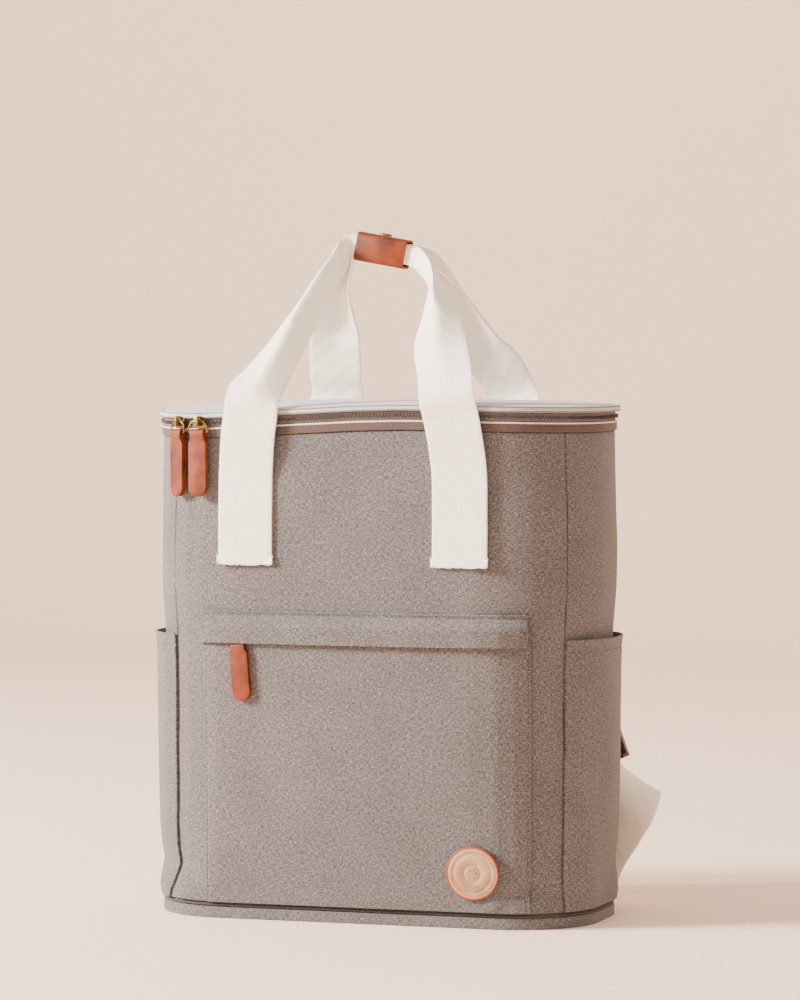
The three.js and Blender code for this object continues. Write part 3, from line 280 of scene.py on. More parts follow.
def outline_at(far, from_back=False):
    """A place on the bag's plain outline, that far round from the middle of its front or back."""
    side = math.copysign(1, far)
    far = abs(far)
    beyond = far > QUARTER_ROUND
    far = 2 * QUARTER_ROUND - far if beyond else far
    turn = max(0.0, min(math.pi / 2, (far - LONG_FLAT) / CORNER))
    x = min(far, LONG_FLAT) + CORNER * math.sin(turn)
    y = SHORT_FLAT + CORNER * math.cos(turn) - max(0.0, far - LONG_FLAT - CORNER * math.pi / 2)
    face = 1 if beyond != from_back else -1
    return Vector((side * x, face * y, 0)), Vector((side * math.sin(turn), face * math.cos(turn), 0))


def touch(target, far, z, from_back=False):
    """Where a level ray from outside first meets a target at a place round the bag."""
    spot, way = outline_at(far, from_back)
    return target.ray_cast(spot + way * 0.04 + Vector((0, 0, z)), -way, 0.07)[:2]


def lay_out(piece, flat_top=0.7, fold_back=False):
    """Gives a piece its cut: round the bag and up, or seen from above where it faces up."""
    mesh = piece.data
    layer = mesh.uv_layers.get("cut") or mesh.uv_layers.new(name="cut")
    along = [round_the_bag(v.co, fold_back) for v in mesh.vertices]
    for face in mesh.polygons:
        loops = list(face.loop_indices)
        if abs(face.normal.z) > flat_top:
            for i in loops:
                spot = mesh.vertices[mesh.loops[i].vertex_index].co
                layer.data[i].uv = (spot.x, spot.y)
            continue
        far = [along[mesh.loops[i].vertex_index] for i in loops]
        jump = max(far) - min(far) > QUARTER_ROUND
        for i, u in zip(loops, far):
            v = mesh.vertices[mesh.loops[i].vertex_index].co.z
            layer.data[i].uv = (u + 4 * QUARTER_ROUND if jump and u < 0 else u, v)


# %% [markdown]
# ## Starting a piece from its CAD solid
# A CAD solid's mesh is loose triangles. A copy of it is merged and its triangles joined back into four-sided
# faces, which a bevel or a subdivision surface can round. Rays shot at the solids find their faces.


# %% Helpers that start and finish a piece
def piece_of(shape, name, nodes, finish):
    """Makes a piece from a bmesh, rides it on the bag and hides the CAD parts it stands for."""
    mesh = bpy.data.meshes.new(name)
    shape.to_mesh(mesh)
    shape.free()
    mesh.materials.append(finish)
    mesh.shade_smooth()
    piece = bpy.data.objects.new(name, mesh)
    scene.collection.objects.link(piece)
    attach(piece, "root")
    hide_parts(*nodes)
    return piece


def solid_of(node, joined=25):
    """A CAD solid's mesh as a bmesh, merged and turned back into four-sided faces."""
    shape = bmesh.new()
    shape.from_mesh(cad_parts[node].data)
    bmesh.ops.remove_doubles(shape, verts=shape.verts, dist=1e-5)
    bmesh.ops.join_triangles(shape, faces=shape.faces, angle_face_threshold=math.radians(joined),
                             angle_shape_threshold=math.radians(70))
    return shape


def rays_at(meshes):
    """The faces of some meshes as one target for rays."""
    target = bmesh.new()
    for mesh in meshes:
        target.from_mesh(mesh)
    tree = BVHTree.FromBMesh(target)
    target.free()
    return tree


def target_of(*nodes):
    return rays_at(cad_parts[node].data for node in nodes)


WALLS = {
    "front_wall": "front_panel",
    "back_wall": "back_panel",
    "right_wall": "side_gusset_right",
    "left_wall": "side_gusset_left",
}
cad_walls = target_of(*WALLS.values())


def last_place(test, inside, outside):
    """The last place between two, from inside to outside, where a test still holds."""
    for _ in range(11):
        middle = (inside + outside) / 2
        if test(middle):
            inside = middle
        else:
            outside = middle
    return inside


def modify(piece, kind, **settings):
    made = piece.modifiers.new(kind.lower(), kind)
    for key, value in settings.items():
        setattr(made, key, value)
    return made


def round_off(piece, levels):
    modify(piece, "SUBSURF", levels=levels, render_levels=levels, boundary_smooth="PRESERVE_CORNERS")


def soften(piece, width, segments=2, angle=60):
    """Rounds a piece's sharp edges."""
    modify(piece, "BEVEL", width=width, segments=segments, limit_method="ANGLE",
           angle_limit=math.radians(angle))


def give_cut(shape, place_of):
    """Gives a bmesh its cut: the flat place in metres of each point."""
    layer = shape.loops.layers.uv.new("cut")
    for face in shape.faces:
        for loop in face.loops:
            loop[layer].uv = place_of(loop.vert)


def settle(piece):
    """Applies a piece's modifiers."""
    ready = piece.evaluated_get(bpy.context.evaluated_depsgraph_get())
    mesh = bpy.data.meshes.new_from_object(ready, preserve_all_data_layers=True,
                                           depsgraph=bpy.context.evaluated_depsgraph_get())
    piece.modifiers.clear()
    piece.data = mesh
    mesh.shade_smooth()


# %% [markdown]
# ## Cutting cloth to a CAD solid
# Cloth is a flat grid of its own width and height before it is sewn. Each point of the grid is carried to
# the solid's outer face by a ray, and keeps its flat place as its cut, so the weave runs true. The same
# small unevenness moves every layer, so that walls, pockets and flap stay one on another.

# %% Lay cloth over the bag
DENTS = [
    # round the bag, height, half length, half width, slope, depth: all in millimetres and degrees
    (118, 24, 16, 5, 35, -2.4),
    (104, 16, 20, 5, 10, 1.4),
    (-118, 27, 14, 5, -30, -2.2),
    (-128, 15, 12, 5, 0, 1.6),
    (-40, 22, 60, 9, 4, -0.8),
    (60, 60, 70, 16, -20, -0.7),
    (-60, 110, 18, 60, 8, -0.6),
    (30, 150, 60, 20, 12, -0.5),
    (112, 300, 20, 14, 30, -0.9),
    (-20, 312, 40, 9, -3, -0.8),
    (186, 60, 12, 60, 5, -1.6),
    (205, 150, 14, 50, 0, 0.8),
]


def lie(far, z):
    """How far out the cloth lies at a place round the bag, over its plain shape."""
    out = 0.45 * noise.noise(Vector((far, z, 0)) / 0.05) - 0.25
    for at, height, long, wide, slope, depth in DENTS:
        across, up = far / MM - at, z / MM - height
        turn = math.radians(slope)
        a = (across * math.cos(turn) + up * math.sin(turn)) / long
        b = (up * math.cos(turn) - across * math.sin(turn)) / wide
        if abs(a) < 3 and abs(b) < 3:
            out += depth * math.exp(-a * a - b * b)
    return out * MM


def closer(share):
    """Sets a grid's lines closer together near both edges, where hems and seams need them."""
    return share - 0.12 * math.sin(2 * math.pi * share)


def cloth_over(node, middle, columns, rows, grow=0.0, trim=0.0, relief=None, from_back=False,
               sway=(0, 0)):
    """A grid of cloth on the outer face of a CAD solid, with its flat places as its cut."""
    own = target_of(node)
    low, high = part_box(node)
    half = (low.z + high.z) / 2

    def edge(z, way):
        def own_face(far):
            return touch(own, far, z, from_back)[0] is not None
        return last_place(own_face, middle, middle + way * 0.16) + way * grow

    levels = [low.z + 0.5 * MM + (high.z - low.z - 8 * MM) * j / 12 for j in range(13)]
    lefts, rights = [edge(z, -1) for z in levels], [edge(z, 1) - trim for z in levels]
    inner = [lefts[6] + 8 * MM, rights[6] - 8 * MM]
    spots = [inner[0] + (inner[1] - inner[0]) * i / 24 for i in range(25)]
    tops = [last_place(lambda z, f=f: touch(own, f, z, from_back)[0] is not None, half, high.z + 2 * MM)
            for f in spots]
    shape = bmesh.new()
    bmesh.ops.create_grid(shape, x_segments=columns, y_segments=rows, size=0.5)
    flat = {}
    for v in shape.verts:
        share, level = closer(v.co.x + 0.5), closer(v.co.y + 0.5)
        near = low.z + level * (high.z - low.z)
        fall = max(0.0, 1 - (near - low.z) / (20 * MM)) ** 2
        left = np.interp(near, levels, lefts) - sway[0] * fall
        right = np.interp(near, levels, rights) - sway[1] * fall
        far = left + (right - left) * share
        top = np.interp(far, spots, tops) + grow
        z = low.z + level * (top - low.z)
        inside = min(max(far, left + grow + 0.2 * MM), right - grow - 0.2 * MM)
        reach = min(max(z, low.z + 0.2 * MM), top - grow - 0.2 * MM)
        spot, way = outline_at(inside, from_back)
        hit = touch(own, inside, reach, from_back)[0] or touch(cad_walls, inside, reach, from_back)[0]
        hit = hit or own.find_nearest(spot + Vector((0, 0, reach)))[0]
        along = Vector((-way.y, way.x, 0)) * (-1 if from_back else 1)
        out = lie(far, z) if not from_back else 0.0
        if relief:
            out += relief(share, level, far, z)
        v.co = hit + along * (far - inside) + Vector((0, 0, z - reach)) + way * out
        flat[v] = (far, z)
    give_cut(shape, flat.get)
    shape.normal_update()
    first = next(iter(shape.faces))
    if first.normal.dot(outward(first.calc_center_median())) < 0:
        bmesh.ops.reverse_faces(shape, faces=shape.faces)
    return shape


# %% [markdown]
# ## Padded walls
# Each wall is cloth over foam, sewn to its neighbours at its edges. The cloth modifier makes that: the
# wall's edges are held, and a light pressure between its faces swells it between them, so the seams sink
# in as they do when foam is stitched down. A cap keeps every point near its place.

# %% Swell a padded piece
WALL = 4.7 * MM


def swell(piece, held, pressure, cap, steps=10):
    """Runs a cloth simulation on a closed piece and keeps its result, each point within the cap."""
    before = [v.co.copy() for v in piece.data.vertices]
    group = piece.vertex_groups.new(name="held")
    for v in piece.data.vertices:
        group.add([v.index], held(v.co), "REPLACE")
    cloth = modify(piece, "CLOTH")
    cloth.settings.quality = 4
    cloth.settings.mass = 0.2
    cloth.settings.tension_stiffness = 12
    cloth.settings.compression_stiffness = 12
    cloth.settings.bending_stiffness = 0.4
    cloth.settings.use_pressure = True
    cloth.settings.uniform_pressure_force = pressure
    cloth.settings.vertex_group_mass = "held"
    cloth.settings.effector_weights.gravity = 0
    cloth.collision_settings.use_collision = False
    cloth.point_cache.frame_start, cloth.point_cache.frame_end = 1, steps
    for step in range(1, steps + 1):
        scene.frame_set(step)
    settle(piece)
    for v, old in zip(piece.data.vertices, before):
        moved = v.co - old
        if moved.length > cap:
            v.co = old + moved.normalized() * cap
    piece.vertex_groups.clear()
    scene.frame_set(1)
    most = max((v.co - old).length for v, old in zip(piece.data.vertices, before))
    print(piece.name, "swelled by", round(most / MM, 1), "mm")


# %% Make the four walls
CUTS = {
    # middle, columns, sway of the left and the right edge near the floor
    "front_wall": (0, 64, (6 * MM, 0)),
    "back_wall": (0, 56, (0, 0)),
    "right_wall": (QUARTER_ROUND, 28, (0, 0)),
    "left_wall": (-QUARTER_ROUND, 28, (0, 6 * MM)),
}


def make_wall(name, node):
    middle, columns, sway = CUTS[name]
    back = name == "back_wall"
    shape = cloth_over(node, middle, columns, 80, grow=0.3 * MM, from_back=back, sway=sway)
    wall = piece_of(shape, name, [node], GREY_CLOTH)
    low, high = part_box(node)
    seams = [round_the_bag(v.co, back) for v in wall.data.vertices]
    left, right = min(seams), max(seams)
    modify(wall, "SOLIDIFY", thickness=WALL, offset=-1)
    settle(wall)

    def held(spot):
        far = round_the_bag(spot, back)
        edge = min(far - left, right - far, spot.z - low.z, high.z - 7 * MM - spot.z)
        return 1.0 if edge < 9 * MM else max(0.0, 0.7 - edge / (40 * MM))

    swell(wall, held, 0.8, 0.8 * MM)
    round_off(wall, 1)
    return wall


walls = {name: make_wall(name, node) for name, node in WALLS.items()}
print("walls:", [len(w.data.polygons) for w in walls.values()])

# %% [markdown]
# ## The base and its piping
# The bag stands on a flat padded base. A dark cord is sewn into the seam above it.

# %% Make the base
base = piece_of(solid_of("base_panel"), "base", ["base_panel"], GREY_CLOTH)
soften(base, 1.2 * MM, 3, 50)
lay_out(base)

piping = piece_of(solid_of("base_piping", 80), "piping", ["base_piping"], DARK_CLOTH)
lay_out(piping, 2)
round_off(piping, 2)
modify(piping, "DISPLACE", strength=-0.5 * MM, mid_level=0.0)
print("base faces:", len(base.data.polygons))

# %% [markdown]
# ## The rim, the zip and the lid
# A smooth taupe binding finishes the mouth. Above it a coil zip runs round the front and both sides. The
# padded lid has a band of pale cloth round its edge, and is hinged by a strip of cloth at the back.


# %% Make the bands
def make_band(node, name, finish, round_edge):
    band = piece_of(solid_of(node), name, [node], finish)
    lay_out(band, 2)
    soften(band, round_edge, 3)


make_band("rim_band", "rim_binding", TRIM_CLOTH, 0.7 * MM)
make_band("zip_tape", "zip_cloth", ZIP_CLOTH, 0.3 * MM)
make_band("lid_hinge", "lid_hinge_cloth", GREY_CLOTH, 0.4 * MM)
make_band("lid_band", "lid_edge", LID_CLOTH, 0.9 * MM)

lid = piece_of(solid_of("lid"), "padded_lid", ["lid"], LID_CLOTH)
round_off(lid, 2)
settle(lid)


def lid_held(spot):
    over = Vector((spot.x, spot.y, 0)).length
    edge = 78 * MM - (spot - Vector((max(-LONG_FLAT, min(LONG_FLAT, spot.x)), 0, spot.z))).length
    return 1.0 if edge < 6 * MM or over > 150 * MM else max(0.0, 0.6 - edge / (40 * MM))


swell(lid, lid_held, 0.5, 1.5 * MM)
lay_out(lid)
print("lid faces:", len(lid.data.polygons))


# %% [markdown]
# ## The zip's coil
# A coil zip is a row of small loops that hook into each other. Its line comes from the middle of the CAD
# chain, station by station, and one small bead a loop is set on alternate sides of it.

# %% Find the middle line of a run round the bag
def middle_line(node):
    """The middle of a thin CAD run, as places in order round the bag."""
    stations = {}
    shape = solid_of(node)
    for v in shape.verts:
        stations.setdefault(round(round_the_bag(v.co) / (1.5 * MM)), []).append(v.co.copy())
    shape.free()
    return [sum(stations[key], Vector()) / len(stations[key]) for key in sorted(stations)]


def spaced(line, step):
    """Places along a line at even steps, each with the line's direction."""
    places = []
    left = 0.0
    for a, b in zip(line, line[1:]):
        long = (b - a).length
        way = (b - a).normalized()
        while left < long:
            places.append((a + way * left, way))
            left += step
        left -= long
    return places


def bead(shape, at, along, out, size):
    """A small rounded bead of a size along, out and across, set at a place."""
    across = along.cross(out).normalized()
    turn = Matrix((along, out, across)).transposed().to_4x4()
    where = Matrix.Translation(at) @ turn @ Matrix.Diagonal((*size, 1))
    bmesh.ops.create_uvsphere(shape, u_segments=6, v_segments=4, radius=0.5, matrix=where)


coil = bmesh.new()
chain = middle_line("zip_chain")
for i, (at, along) in enumerate(spaced(chain, 1.2 * MM)):
    out = outward(at)
    up = Vector((0, 0, 0.5 * MM if i % 2 else -0.5 * MM))
    bead(coil, at + up + out * 0.1 * MM, along, out, (1.1 * MM, 1.6 * MM, 1.7 * MM))
teeth = piece_of(coil, "zip_coil", ["zip_chain"], DARK_CLOTH)
lay_out(teeth, 2)
print("zip loops:", len(teeth.data.vertices) // 20)

# %% [markdown]
# A thin cord is sewn along the top of the binding, and two thin lines of thread run round the lid's
# edge. The cord's pale colour is a painted highlight where light catches the binding's top edge. A curve
# with a round bevel carries a ring of points along each line, and is then made a mesh.

# %% Make the pale cord
def tube(name, line, radius, nodes, finish, closed=False):
    curve = bpy.data.curves.new(name, "CURVE")
    curve.dimensions = "3D"
    curve.bevel_depth = radius
    curve.bevel_resolution = 3
    curve.use_fill_caps = True
    spline = curve.splines.new("POLY")
    spline.points.add(len(line) - 1)
    for point, at in zip(spline.points, line):
        point.co = (*at, 1)
    spline.use_cyclic_u = closed
    holder = bpy.data.objects.new(name + "_route", curve)
    scene.collection.objects.link(holder)
    bpy.context.view_layer.update()
    made = bpy.data.meshes.new_from_object(holder.evaluated_get(bpy.context.evaluated_depsgraph_get()))
    bpy.data.objects.remove(holder)
    shape = bmesh.new()
    shape.from_mesh(made)
    bmesh.ops.remove_doubles(shape, verts=shape.verts, dist=1e-6)
    bmesh.ops.recalc_face_normals(shape, faces=shape.faces)
    piece = piece_of(shape, name, nodes, finish)
    lay_out(piece, 2)
    return piece


def cord_round(name, node, height, radius, finish):
    """A thin cord round the whole bag, on a CAD band's face at a height."""
    face = target_of(node)
    line = []
    for i in range(260):
        far = (i / 260 - 0.5) * 4 * QUARTER_ROUND
        spot = touch(face, far, height - sag(far))[0]
        if spot:
            line.append(spot - outward(spot) * radius * 0.3)
    return tube(name, line, radius, [node], finish, closed=True)


rim_face = target_of("rim_band")
rim_low, rim_high, edge_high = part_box("rim_band")[0].z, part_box("rim_band")[1].z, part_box("lid_band")[1].z


def sag(far):
    """How far the rim hangs below its highest place."""
    spot = touch(rim_face, far, rim_low + 7.2 * MM)[0]
    start = spot.z if spot else rim_low + 3 * MM
    return rim_high - last_place(lambda z: touch(rim_face, far, z)[0] is not None, start, rim_high + 1 * MM)


# The cord along the top of the binding is coloured pale as a painted highlight on that edge.
pale_highlight_cord = cord_round("pale_highlight_cord", "rim_band", rim_high - 0.35 * MM, 0.6 * MM, HIGHLIGHT_CORD_CLOTH)
lid_line = cord_round("lid_edge_line", "lid_band", edge_high - 3.4 * MM, 0.45 * MM, ZIP_CLOTH)
cord_round("lid_seam", "lid_band", edge_high - 0.5 * MM, 0.4 * MM, ZIP_CLOTH)
print("cords round the mouth:", len(pale_highlight_cord.data.vertices), len(lid_line.data.vertices))

# %% [markdown]
# ## Pockets and the flap
# Pockets are single cloth, so each is a cut sheet with a cloth's thickness. The flap over the pocket's zip is
# a folded strip: it lifts in soft waves below its stitch line, and each stitch line presses a groove.

# %% Make the pockets
POCKET_CLOTH = 1.5 * MM
POCKET_WIDE, FLAP_TALL, SIDE_TALL = 228 * MM, 22 * MM, 182 * MM


def make_sheet(node, name, middle, columns, rows, relief, trim=0.0, sway=(0, 0)):
    shape = cloth_over(node, middle, columns, rows, trim=trim, relief=relief, sway=sway)
    area = sum(f.calc_area() for f in shape.faces)
    sheet = piece_of(shape, name, [node], GREY_CLOTH)
    modify(sheet, "SOLIDIFY", thickness=POCKET_CLOTH, offset=-1)
    settle(sheet)
    soften(sheet, 0.5 * MM)
    return sheet


def groove(away, half_width, depth):
    """A stitched groove's depth at a distance from its line."""
    return -depth * math.exp(-((away / half_width) ** 2))


def pocket_relief(share, level, far, z):
    edge = min(share, 1 - share) * POCKET_WIDE
    return groove(edge - 2.2 * MM, 0.8 * MM, 0.5 * MM)


def flap_relief(share, level, far, z):
    drop = (1 - level) * FLAP_TALL
    wave = noise.noise(Vector((far * 60, 4, level))) * 0.8 * MM * (1 - level)
    roll = 0.5 * MM * math.exp(-((drop - 0.9 * MM) / (0.9 * MM)) ** 2)
    return wave + roll + groove(drop - 2.6 * MM, 0.8 * MM, 0.5 * MM)


def side_relief(share, level, far, z):
    drop = (1 - level) * SIDE_TALL
    roll = 0.5 * MM * math.exp(-((drop - 1 * MM) / (1.2 * MM)) ** 2)
    return roll + groove(drop - 8 * MM, 1 * MM, 0.5 * MM)


front_pocket = make_sheet("front_pocket", "flat_pocket", 8 * MM, 76, 60,
                          pocket_relief)
flap = make_sheet("pocket_flap", "zip_flap", 8 * MM, 90, 24, flap_relief,
                  trim=6.5 * MM)
right_pocket = make_sheet("side_pocket_right", "right_pocket", QUARTER_ROUND, 30, 60,
                          side_relief)
left_pocket = make_sheet("side_pocket_left", "left_pocket", -QUARTER_ROUND, 30, 60,
                         side_relief, sway=(0, 6 * MM))
print("pocket faces:", len(front_pocket.data.polygons), len(flap.data.polygons))

# %% [markdown]
# ## Webbing
# Webbing is woven flat, so each strip starts as a flat grid of its real width and length, which is also its
# cut. It is then laid along its route: rows of a few places, each with the side that shows, how far the two
# halves fold back, and how much the strip is gathered.

# %% Lay a strip along its route
WEBBING_WIDTH, WEBBING_THICK = 38 * MM, 2.0 * MM
COLUMNS = 12


def through(rows, steps):
    """A smooth curve through rows of numbers, timed by the distance between their first three."""
    rows = np.array(rows)
    gaps = np.linalg.norm(np.diff(rows[:, :3], axis=0), axis=1)
    time = np.concatenate([[0], np.cumsum(gaps)])
    slopes = np.gradient(rows, time, axis=0)
    at = np.linspace(0, time[-1], steps)
    i = np.clip(np.searchsorted(time, at, side="right") - 1, 0, len(rows) - 2)
    span = gaps[i][:, None]
    t = ((at - time[i]) / gaps[i])[:, None]
    start = (2 * t**3 - 3 * t**2 + 1) * rows[i] + (t**3 - 2 * t**2 + t) * span * slopes[i]
    return start + (3 * t**2 - 2 * t**3) * rows[i + 1] + (t**3 - t**2) * span * slopes[i + 1]


def fold_section(half, fold, crown=1.4 * MM):
    """Places across a strip whose halves fold back by an angle from a small round crown."""
    across = np.linspace(-half, half, COLUMNS * 8 + 1)
    lean = fold * np.tanh(across / crown)
    step = across[1] - across[0]
    side = np.concatenate([[0], np.cumsum(np.cos((lean[1:] + lean[:-1]) / 2))]) * step
    down = np.concatenate([[0], np.cumsum(np.sin((lean[1:] + lean[:-1]) / 2))]) * step
    middle = len(across) // 2
    side -= side[middle]
    down -= down[middle]
    return side[::8], down.mean() - down[::8]


def make_strip(name, node, rows, finish):
    """Rows are x, y, z, the face's x, y, z, the fold in radians and the gather."""
    length = float(np.sum(np.linalg.norm(np.diff(np.array(rows)[:, :3], axis=0), axis=1)))
    steps = int(length / (3 * MM))
    shape = bmesh.new()
    bmesh.ops.create_grid(shape, x_segments=COLUMNS, y_segments=steps - 1, size=0.5)
    route = through(rows, steps)
    ways = np.gradient(route[:, :3], axis=0)
    for v in shape.verts:
        j = round((v.co.y + 0.5) * (steps - 1))
        i = round((v.co.x + 0.5) * COLUMNS)
        v.co = (i / COLUMNS - 0.5, j / (steps - 1), 0)
    give_cut(shape, lambda v: (v.co.x * WEBBING_WIDTH, v.co.y * length))
    for v in shape.verts:
        i, j = round((v.co.x + 0.5) * COLUMNS), round(v.co.y * (steps - 1))
        at, face, (fold, gather) = route[j, :3], Vector(route[j, 3:6]), route[j, 6:8]
        along = Vector(ways[j]).normalized()
        face = (face - along * face.dot(along)).normalized()
        across = along.cross(face)
        side, lift = fold_section(WEBBING_WIDTH / 2 * gather, fold)
        v.co = Vector(at) + across * side[i] + face * lift[i]
    strip = piece_of(shape, name, [node], finish)
    modify(strip, "SOLIDIFY", thickness=WEBBING_THICK, offset=0)
    soften(strip, 0.7 * MM)
    print(name, "is", round(length / MM), "mm long")
    return strip


# %% [markdown]
# ## Where webbing is sewn to a wall
# A ray shot at the CAD wall from outside finds its face. The strip lies on the part of the wall that stands
# out most across its width.

# %% Find the face of a wall
WALL_TOP, STRIP_OFF = 325 * MM, 1.7 * MM


def beside_wall(x, z, side, lift):
    """A place for a strip's middle in front of or behind the bag, with a lift off the wall."""
    inner = math.copysign(max(0.0, abs(x) - WEBBING_WIDTH / 2), x)
    hit = cad_walls.ray_cast(Vector((inner, side, min(z, WALL_TOP))), Vector((0, -side, 0)))[0]
    return Vector((x, hit.y + side * (STRIP_OFF + lift), z))


# %% [markdown]
# ## The carry handles
# Each handle starts in a sewn leg on the wall, leaves it at the lid's edge and rises to the leather sleeve,
# folding lengthwise as it goes. across, deep and rise are shares of the handle's spacing, the bag's depth
# and the rise over the lid. lean tips the strip's face upward and fold bends its halves back. The sewn leg
# begins to bend towards the free one before it leaves the wall, as webbing does under a pull.

# %% The handles' routes
LEGS = {
    "front_left": [
        # across, deep, rise, lean, fold, gather
        (-0.914, 1, 0.0, 0, 4, 0.99),
        (-0.822, 0.895, 0.165, 12, 30, 0.95),
        (-0.718, 0.8, 0.33, 25, 42, 0.92),
        (-0.609, 0.635, 0.535, 40, 50, 0.9),
        (-0.488, 0.426, 0.75, 55, 58, 0.86),
        (-0.43, 0.23, 0.875, 68, 70, 0.8),
    ],
    "front_right": [
        (0.425, 0.154, 0.865, 70, 80, 0.74),
        (0.545, 0.308, 0.775, 50, 76, 0.78),
        (0.616, 0.472, 0.655, 35, 60, 0.88),
        (0.69, 0.612, 0.525, 25, 38, 0.95),
        (0.743, 0.753, 0.365, 15, 20, 1),
        (0.836, 0.884, 0.18, 8, 8, 1),
        (0.904, 1, 0.0, 0, 0, 1),
    ],
    "back_left": [
        (-0.867, 1, 0.0, 0, 0, 1),
        (-0.843, 0.895, 0.163, 6, 0, 1),
        (-0.803, 0.789, 0.335, 12, 6, 1),
        (-0.738, 0.66, 0.487, 22, 20, 0.96),
        (-0.674, 0.518, 0.612, 35, 42, 0.9),
        (-0.57, 0.336, 0.755, 50, 68, 0.82),
        (-0.45, 0.16, 0.89, 68, 80, 0.76),
    ],
    "back_right": [
        (0.37, 0.127, 0.9, 75, 76, 0.76),
        (0.45, 0.272, 0.8, 62, 62, 0.86),
        (0.5, 0.435, 0.68, 50, 52, 0.92),
        (0.56, 0.6, 0.53, 35, 42, 0.96),
        (0.63, 0.744, 0.37, 22, 28, 0.98),
        (0.735, 0.875, 0.22, 12, 8, 1),
        (0.85, 1, 0.0, 0, 0, 1),
    ],
}
SEWN_LEG = [
    # height, lift, bend
    (0, 0, 0),
    (0.3, 0.02, 0),
    (0.62, 0.12, 0.12),
    (0.8, 0.75, 0.45),
    (0.93, 1.02, 0.8),
]
HANDLE_HALF, HANDLE_FOOT, HANDLE_RISE = 76 * MM, 242 * MM, 106 * MM
LID_TOP, LID_OUT = 352.2 * MM, 3.8 * MM
GRIP_MIDDLE = Vector((-3.5 * MM, 0, LID_TOP + HANDLE_RISE - 3 * MM))
GRIP_SLOPE = math.radians(10.4)
GRIP_WAY = Vector((math.cos(GRIP_SLOPE), 0, -math.sin(GRIP_SLOPE)))
GRIP_UP = Vector((math.sin(GRIP_SLOPE), 0, math.cos(GRIP_SLOPE)))


def sewn_rows(foot, free, side):
    rows = []
    for height, lift, bend in SEWN_LEG:
        x = foot + bend * (free[0] - foot)
        z = HANDLE_FOOT + height * (LID_TOP - HANDLE_FOOT)
        rows.append((*beside_wall(x, z, side, lift * LID_OUT), 0, side, 0, 0, 1))
    return rows


def free_row(row, side):
    across, deep, rise, lean, fold, gather = row
    reach = BAG_DEPTH / 2 + 6.8 * MM
    at = across * HANDLE_HALF, side * deep * reach, LID_TOP + rise * HANDLE_RISE
    lean = math.radians(lean)
    return (*at, 0, side * math.cos(lean), math.sin(lean), math.radians(fold), gather)


def grip_rows(side):
    rows = []
    for along in (-22, -17, 0, 17, 22):
        at = GRIP_MIDDLE + GRIP_WAY * along * MM + Vector((0, side * 3.5 * MM, 0))
        rows.append((*at, 0, 0, 1, math.radians(88), 0.72))
    return rows


def handle_rows(left, right, side):
    left, right = [free_row(row, side) for row in left], [free_row(row, side) for row in right]
    return [
        *sewn_rows(-HANDLE_HALF, left[0], side),
        *left,
        *grip_rows(side),
        *right,
        *reversed(sewn_rows(HANDLE_HALF, right[-1], side)),
    ]


# %% Make the handles
front_handle = make_strip("front_loop", "front_handle",
                          handle_rows(LEGS["front_left"], LEGS["front_right"], -1), COTTON)
back_handle = make_strip("back_loop", "back_handle",
                         handle_rows(LEGS["back_left"], LEGS["back_right"], 1), COTTON)

# %% [markdown]
# ## The shoulder straps
# They run from the top of the back down to its foot and stand off it, so that arms can pass. The right one
# lies folded at its lower end, where it shows past the bag's side. A metal adjuster holds each one.

# %% The straps' routes
STRAP_START = [
    # across, out, height, face x, y, z, gather
    (0.2, 0, 1, 0, 1, 0, 1),
    (0.22, 0, 0.93, 0, 1, 0, 1),
    (0.26, 0.14, 0.87, 0, 1, 0.1, 1),
    (0.36, 0.62, 0.77, 0, 1, 0.3, 1),
]
STRAPS = {
    "right": [
        *STRAP_START,
        (0.48, 0.95, 0.65, 0, 1, 0.1, 1),
        (0.6, 1, 0.53, 0, 1, 0, 1),
        (0.69, 0.85, 0.42, 0, 1, -0.2, 1),
        (0.735, 0.64, 0.325, 0, 1, -0.2, 1),
        (0.83, 0.56, 0.275, 0.3, 0.7, 0.6, 0.9),
        (0.92, 0.52, 0.285, 0.5, 0.4, 0.75, 0.8),
        (0.985, 0.42, 0.275, 0.5, 0.1, 0.85, 0.85),
        (1, 0.26, 0.266, 0.34, 0, 0.94, 0.95),
        (0.985, 0.13, 0.237, 0.2, -0.8, 0.4, 1),
        (0.91, 0.07, 0.175, 0, -1, 0.1, 1),
        (0.82, 0.03, 0.11, 0, -1, 0, 1),
        (0.77, 0, 0.055, 0, -1, 0, 1),
    ],
    "left": [
        *((-across, *rest) for across, *rest in STRAP_START),
        (-0.47, 0.95, 0.65, 0, 1, 0.1, 1),
        (-0.58, 1, 0.53, 0, 1, 0, 1),
        (-0.65, 0.92, 0.43, 0, 1, -0.1, 1),
        (-0.69, 0.8, 0.365, 0, 1, -0.2, 1),
        (-0.72, 0.62, 0.29, 0, 1, -0.3, 1),
        (-0.74, 0.36, 0.2, 0, 1, -0.3, 1),
        (-0.74, 0.12, 0.11, 0, 1, -0.2, 1),
        (-0.73, 0, 0.055, 0, 1, 0, 1),
    ],
}
STRAP_TOP, STRAP_BULGE, HELD_ROW, HELD_REACH = 322 * MM, 40 * MM, 7, 14.7 * MM


def strap_rows(table):
    rows = []
    for across, out, height, *face, gather in table:
        at = beside_wall(across * BAG_WIDTH / 2, height * STRAP_TOP, 1, out * STRAP_BULGE)
        rows.append((*at, *face, 0, gather))
    held = rows[HELD_ROW]
    way = (Vector(rows[HELD_ROW + 1][:3]) - Vector(rows[HELD_ROW - 1][:3])).normalized()
    before = (*(Vector(held[:3]) - way * HELD_REACH), *held[3:])
    after = (*(Vector(held[:3]) + way * HELD_REACH), *held[3:])
    return rows[:HELD_ROW] + [before, held, after] + rows[HELD_ROW + 1:]


for side, table in STRAPS.items():
    make_strip(f"{side}_strap", f"shoulder_strap_{side}", strap_rows(table), COTTON)

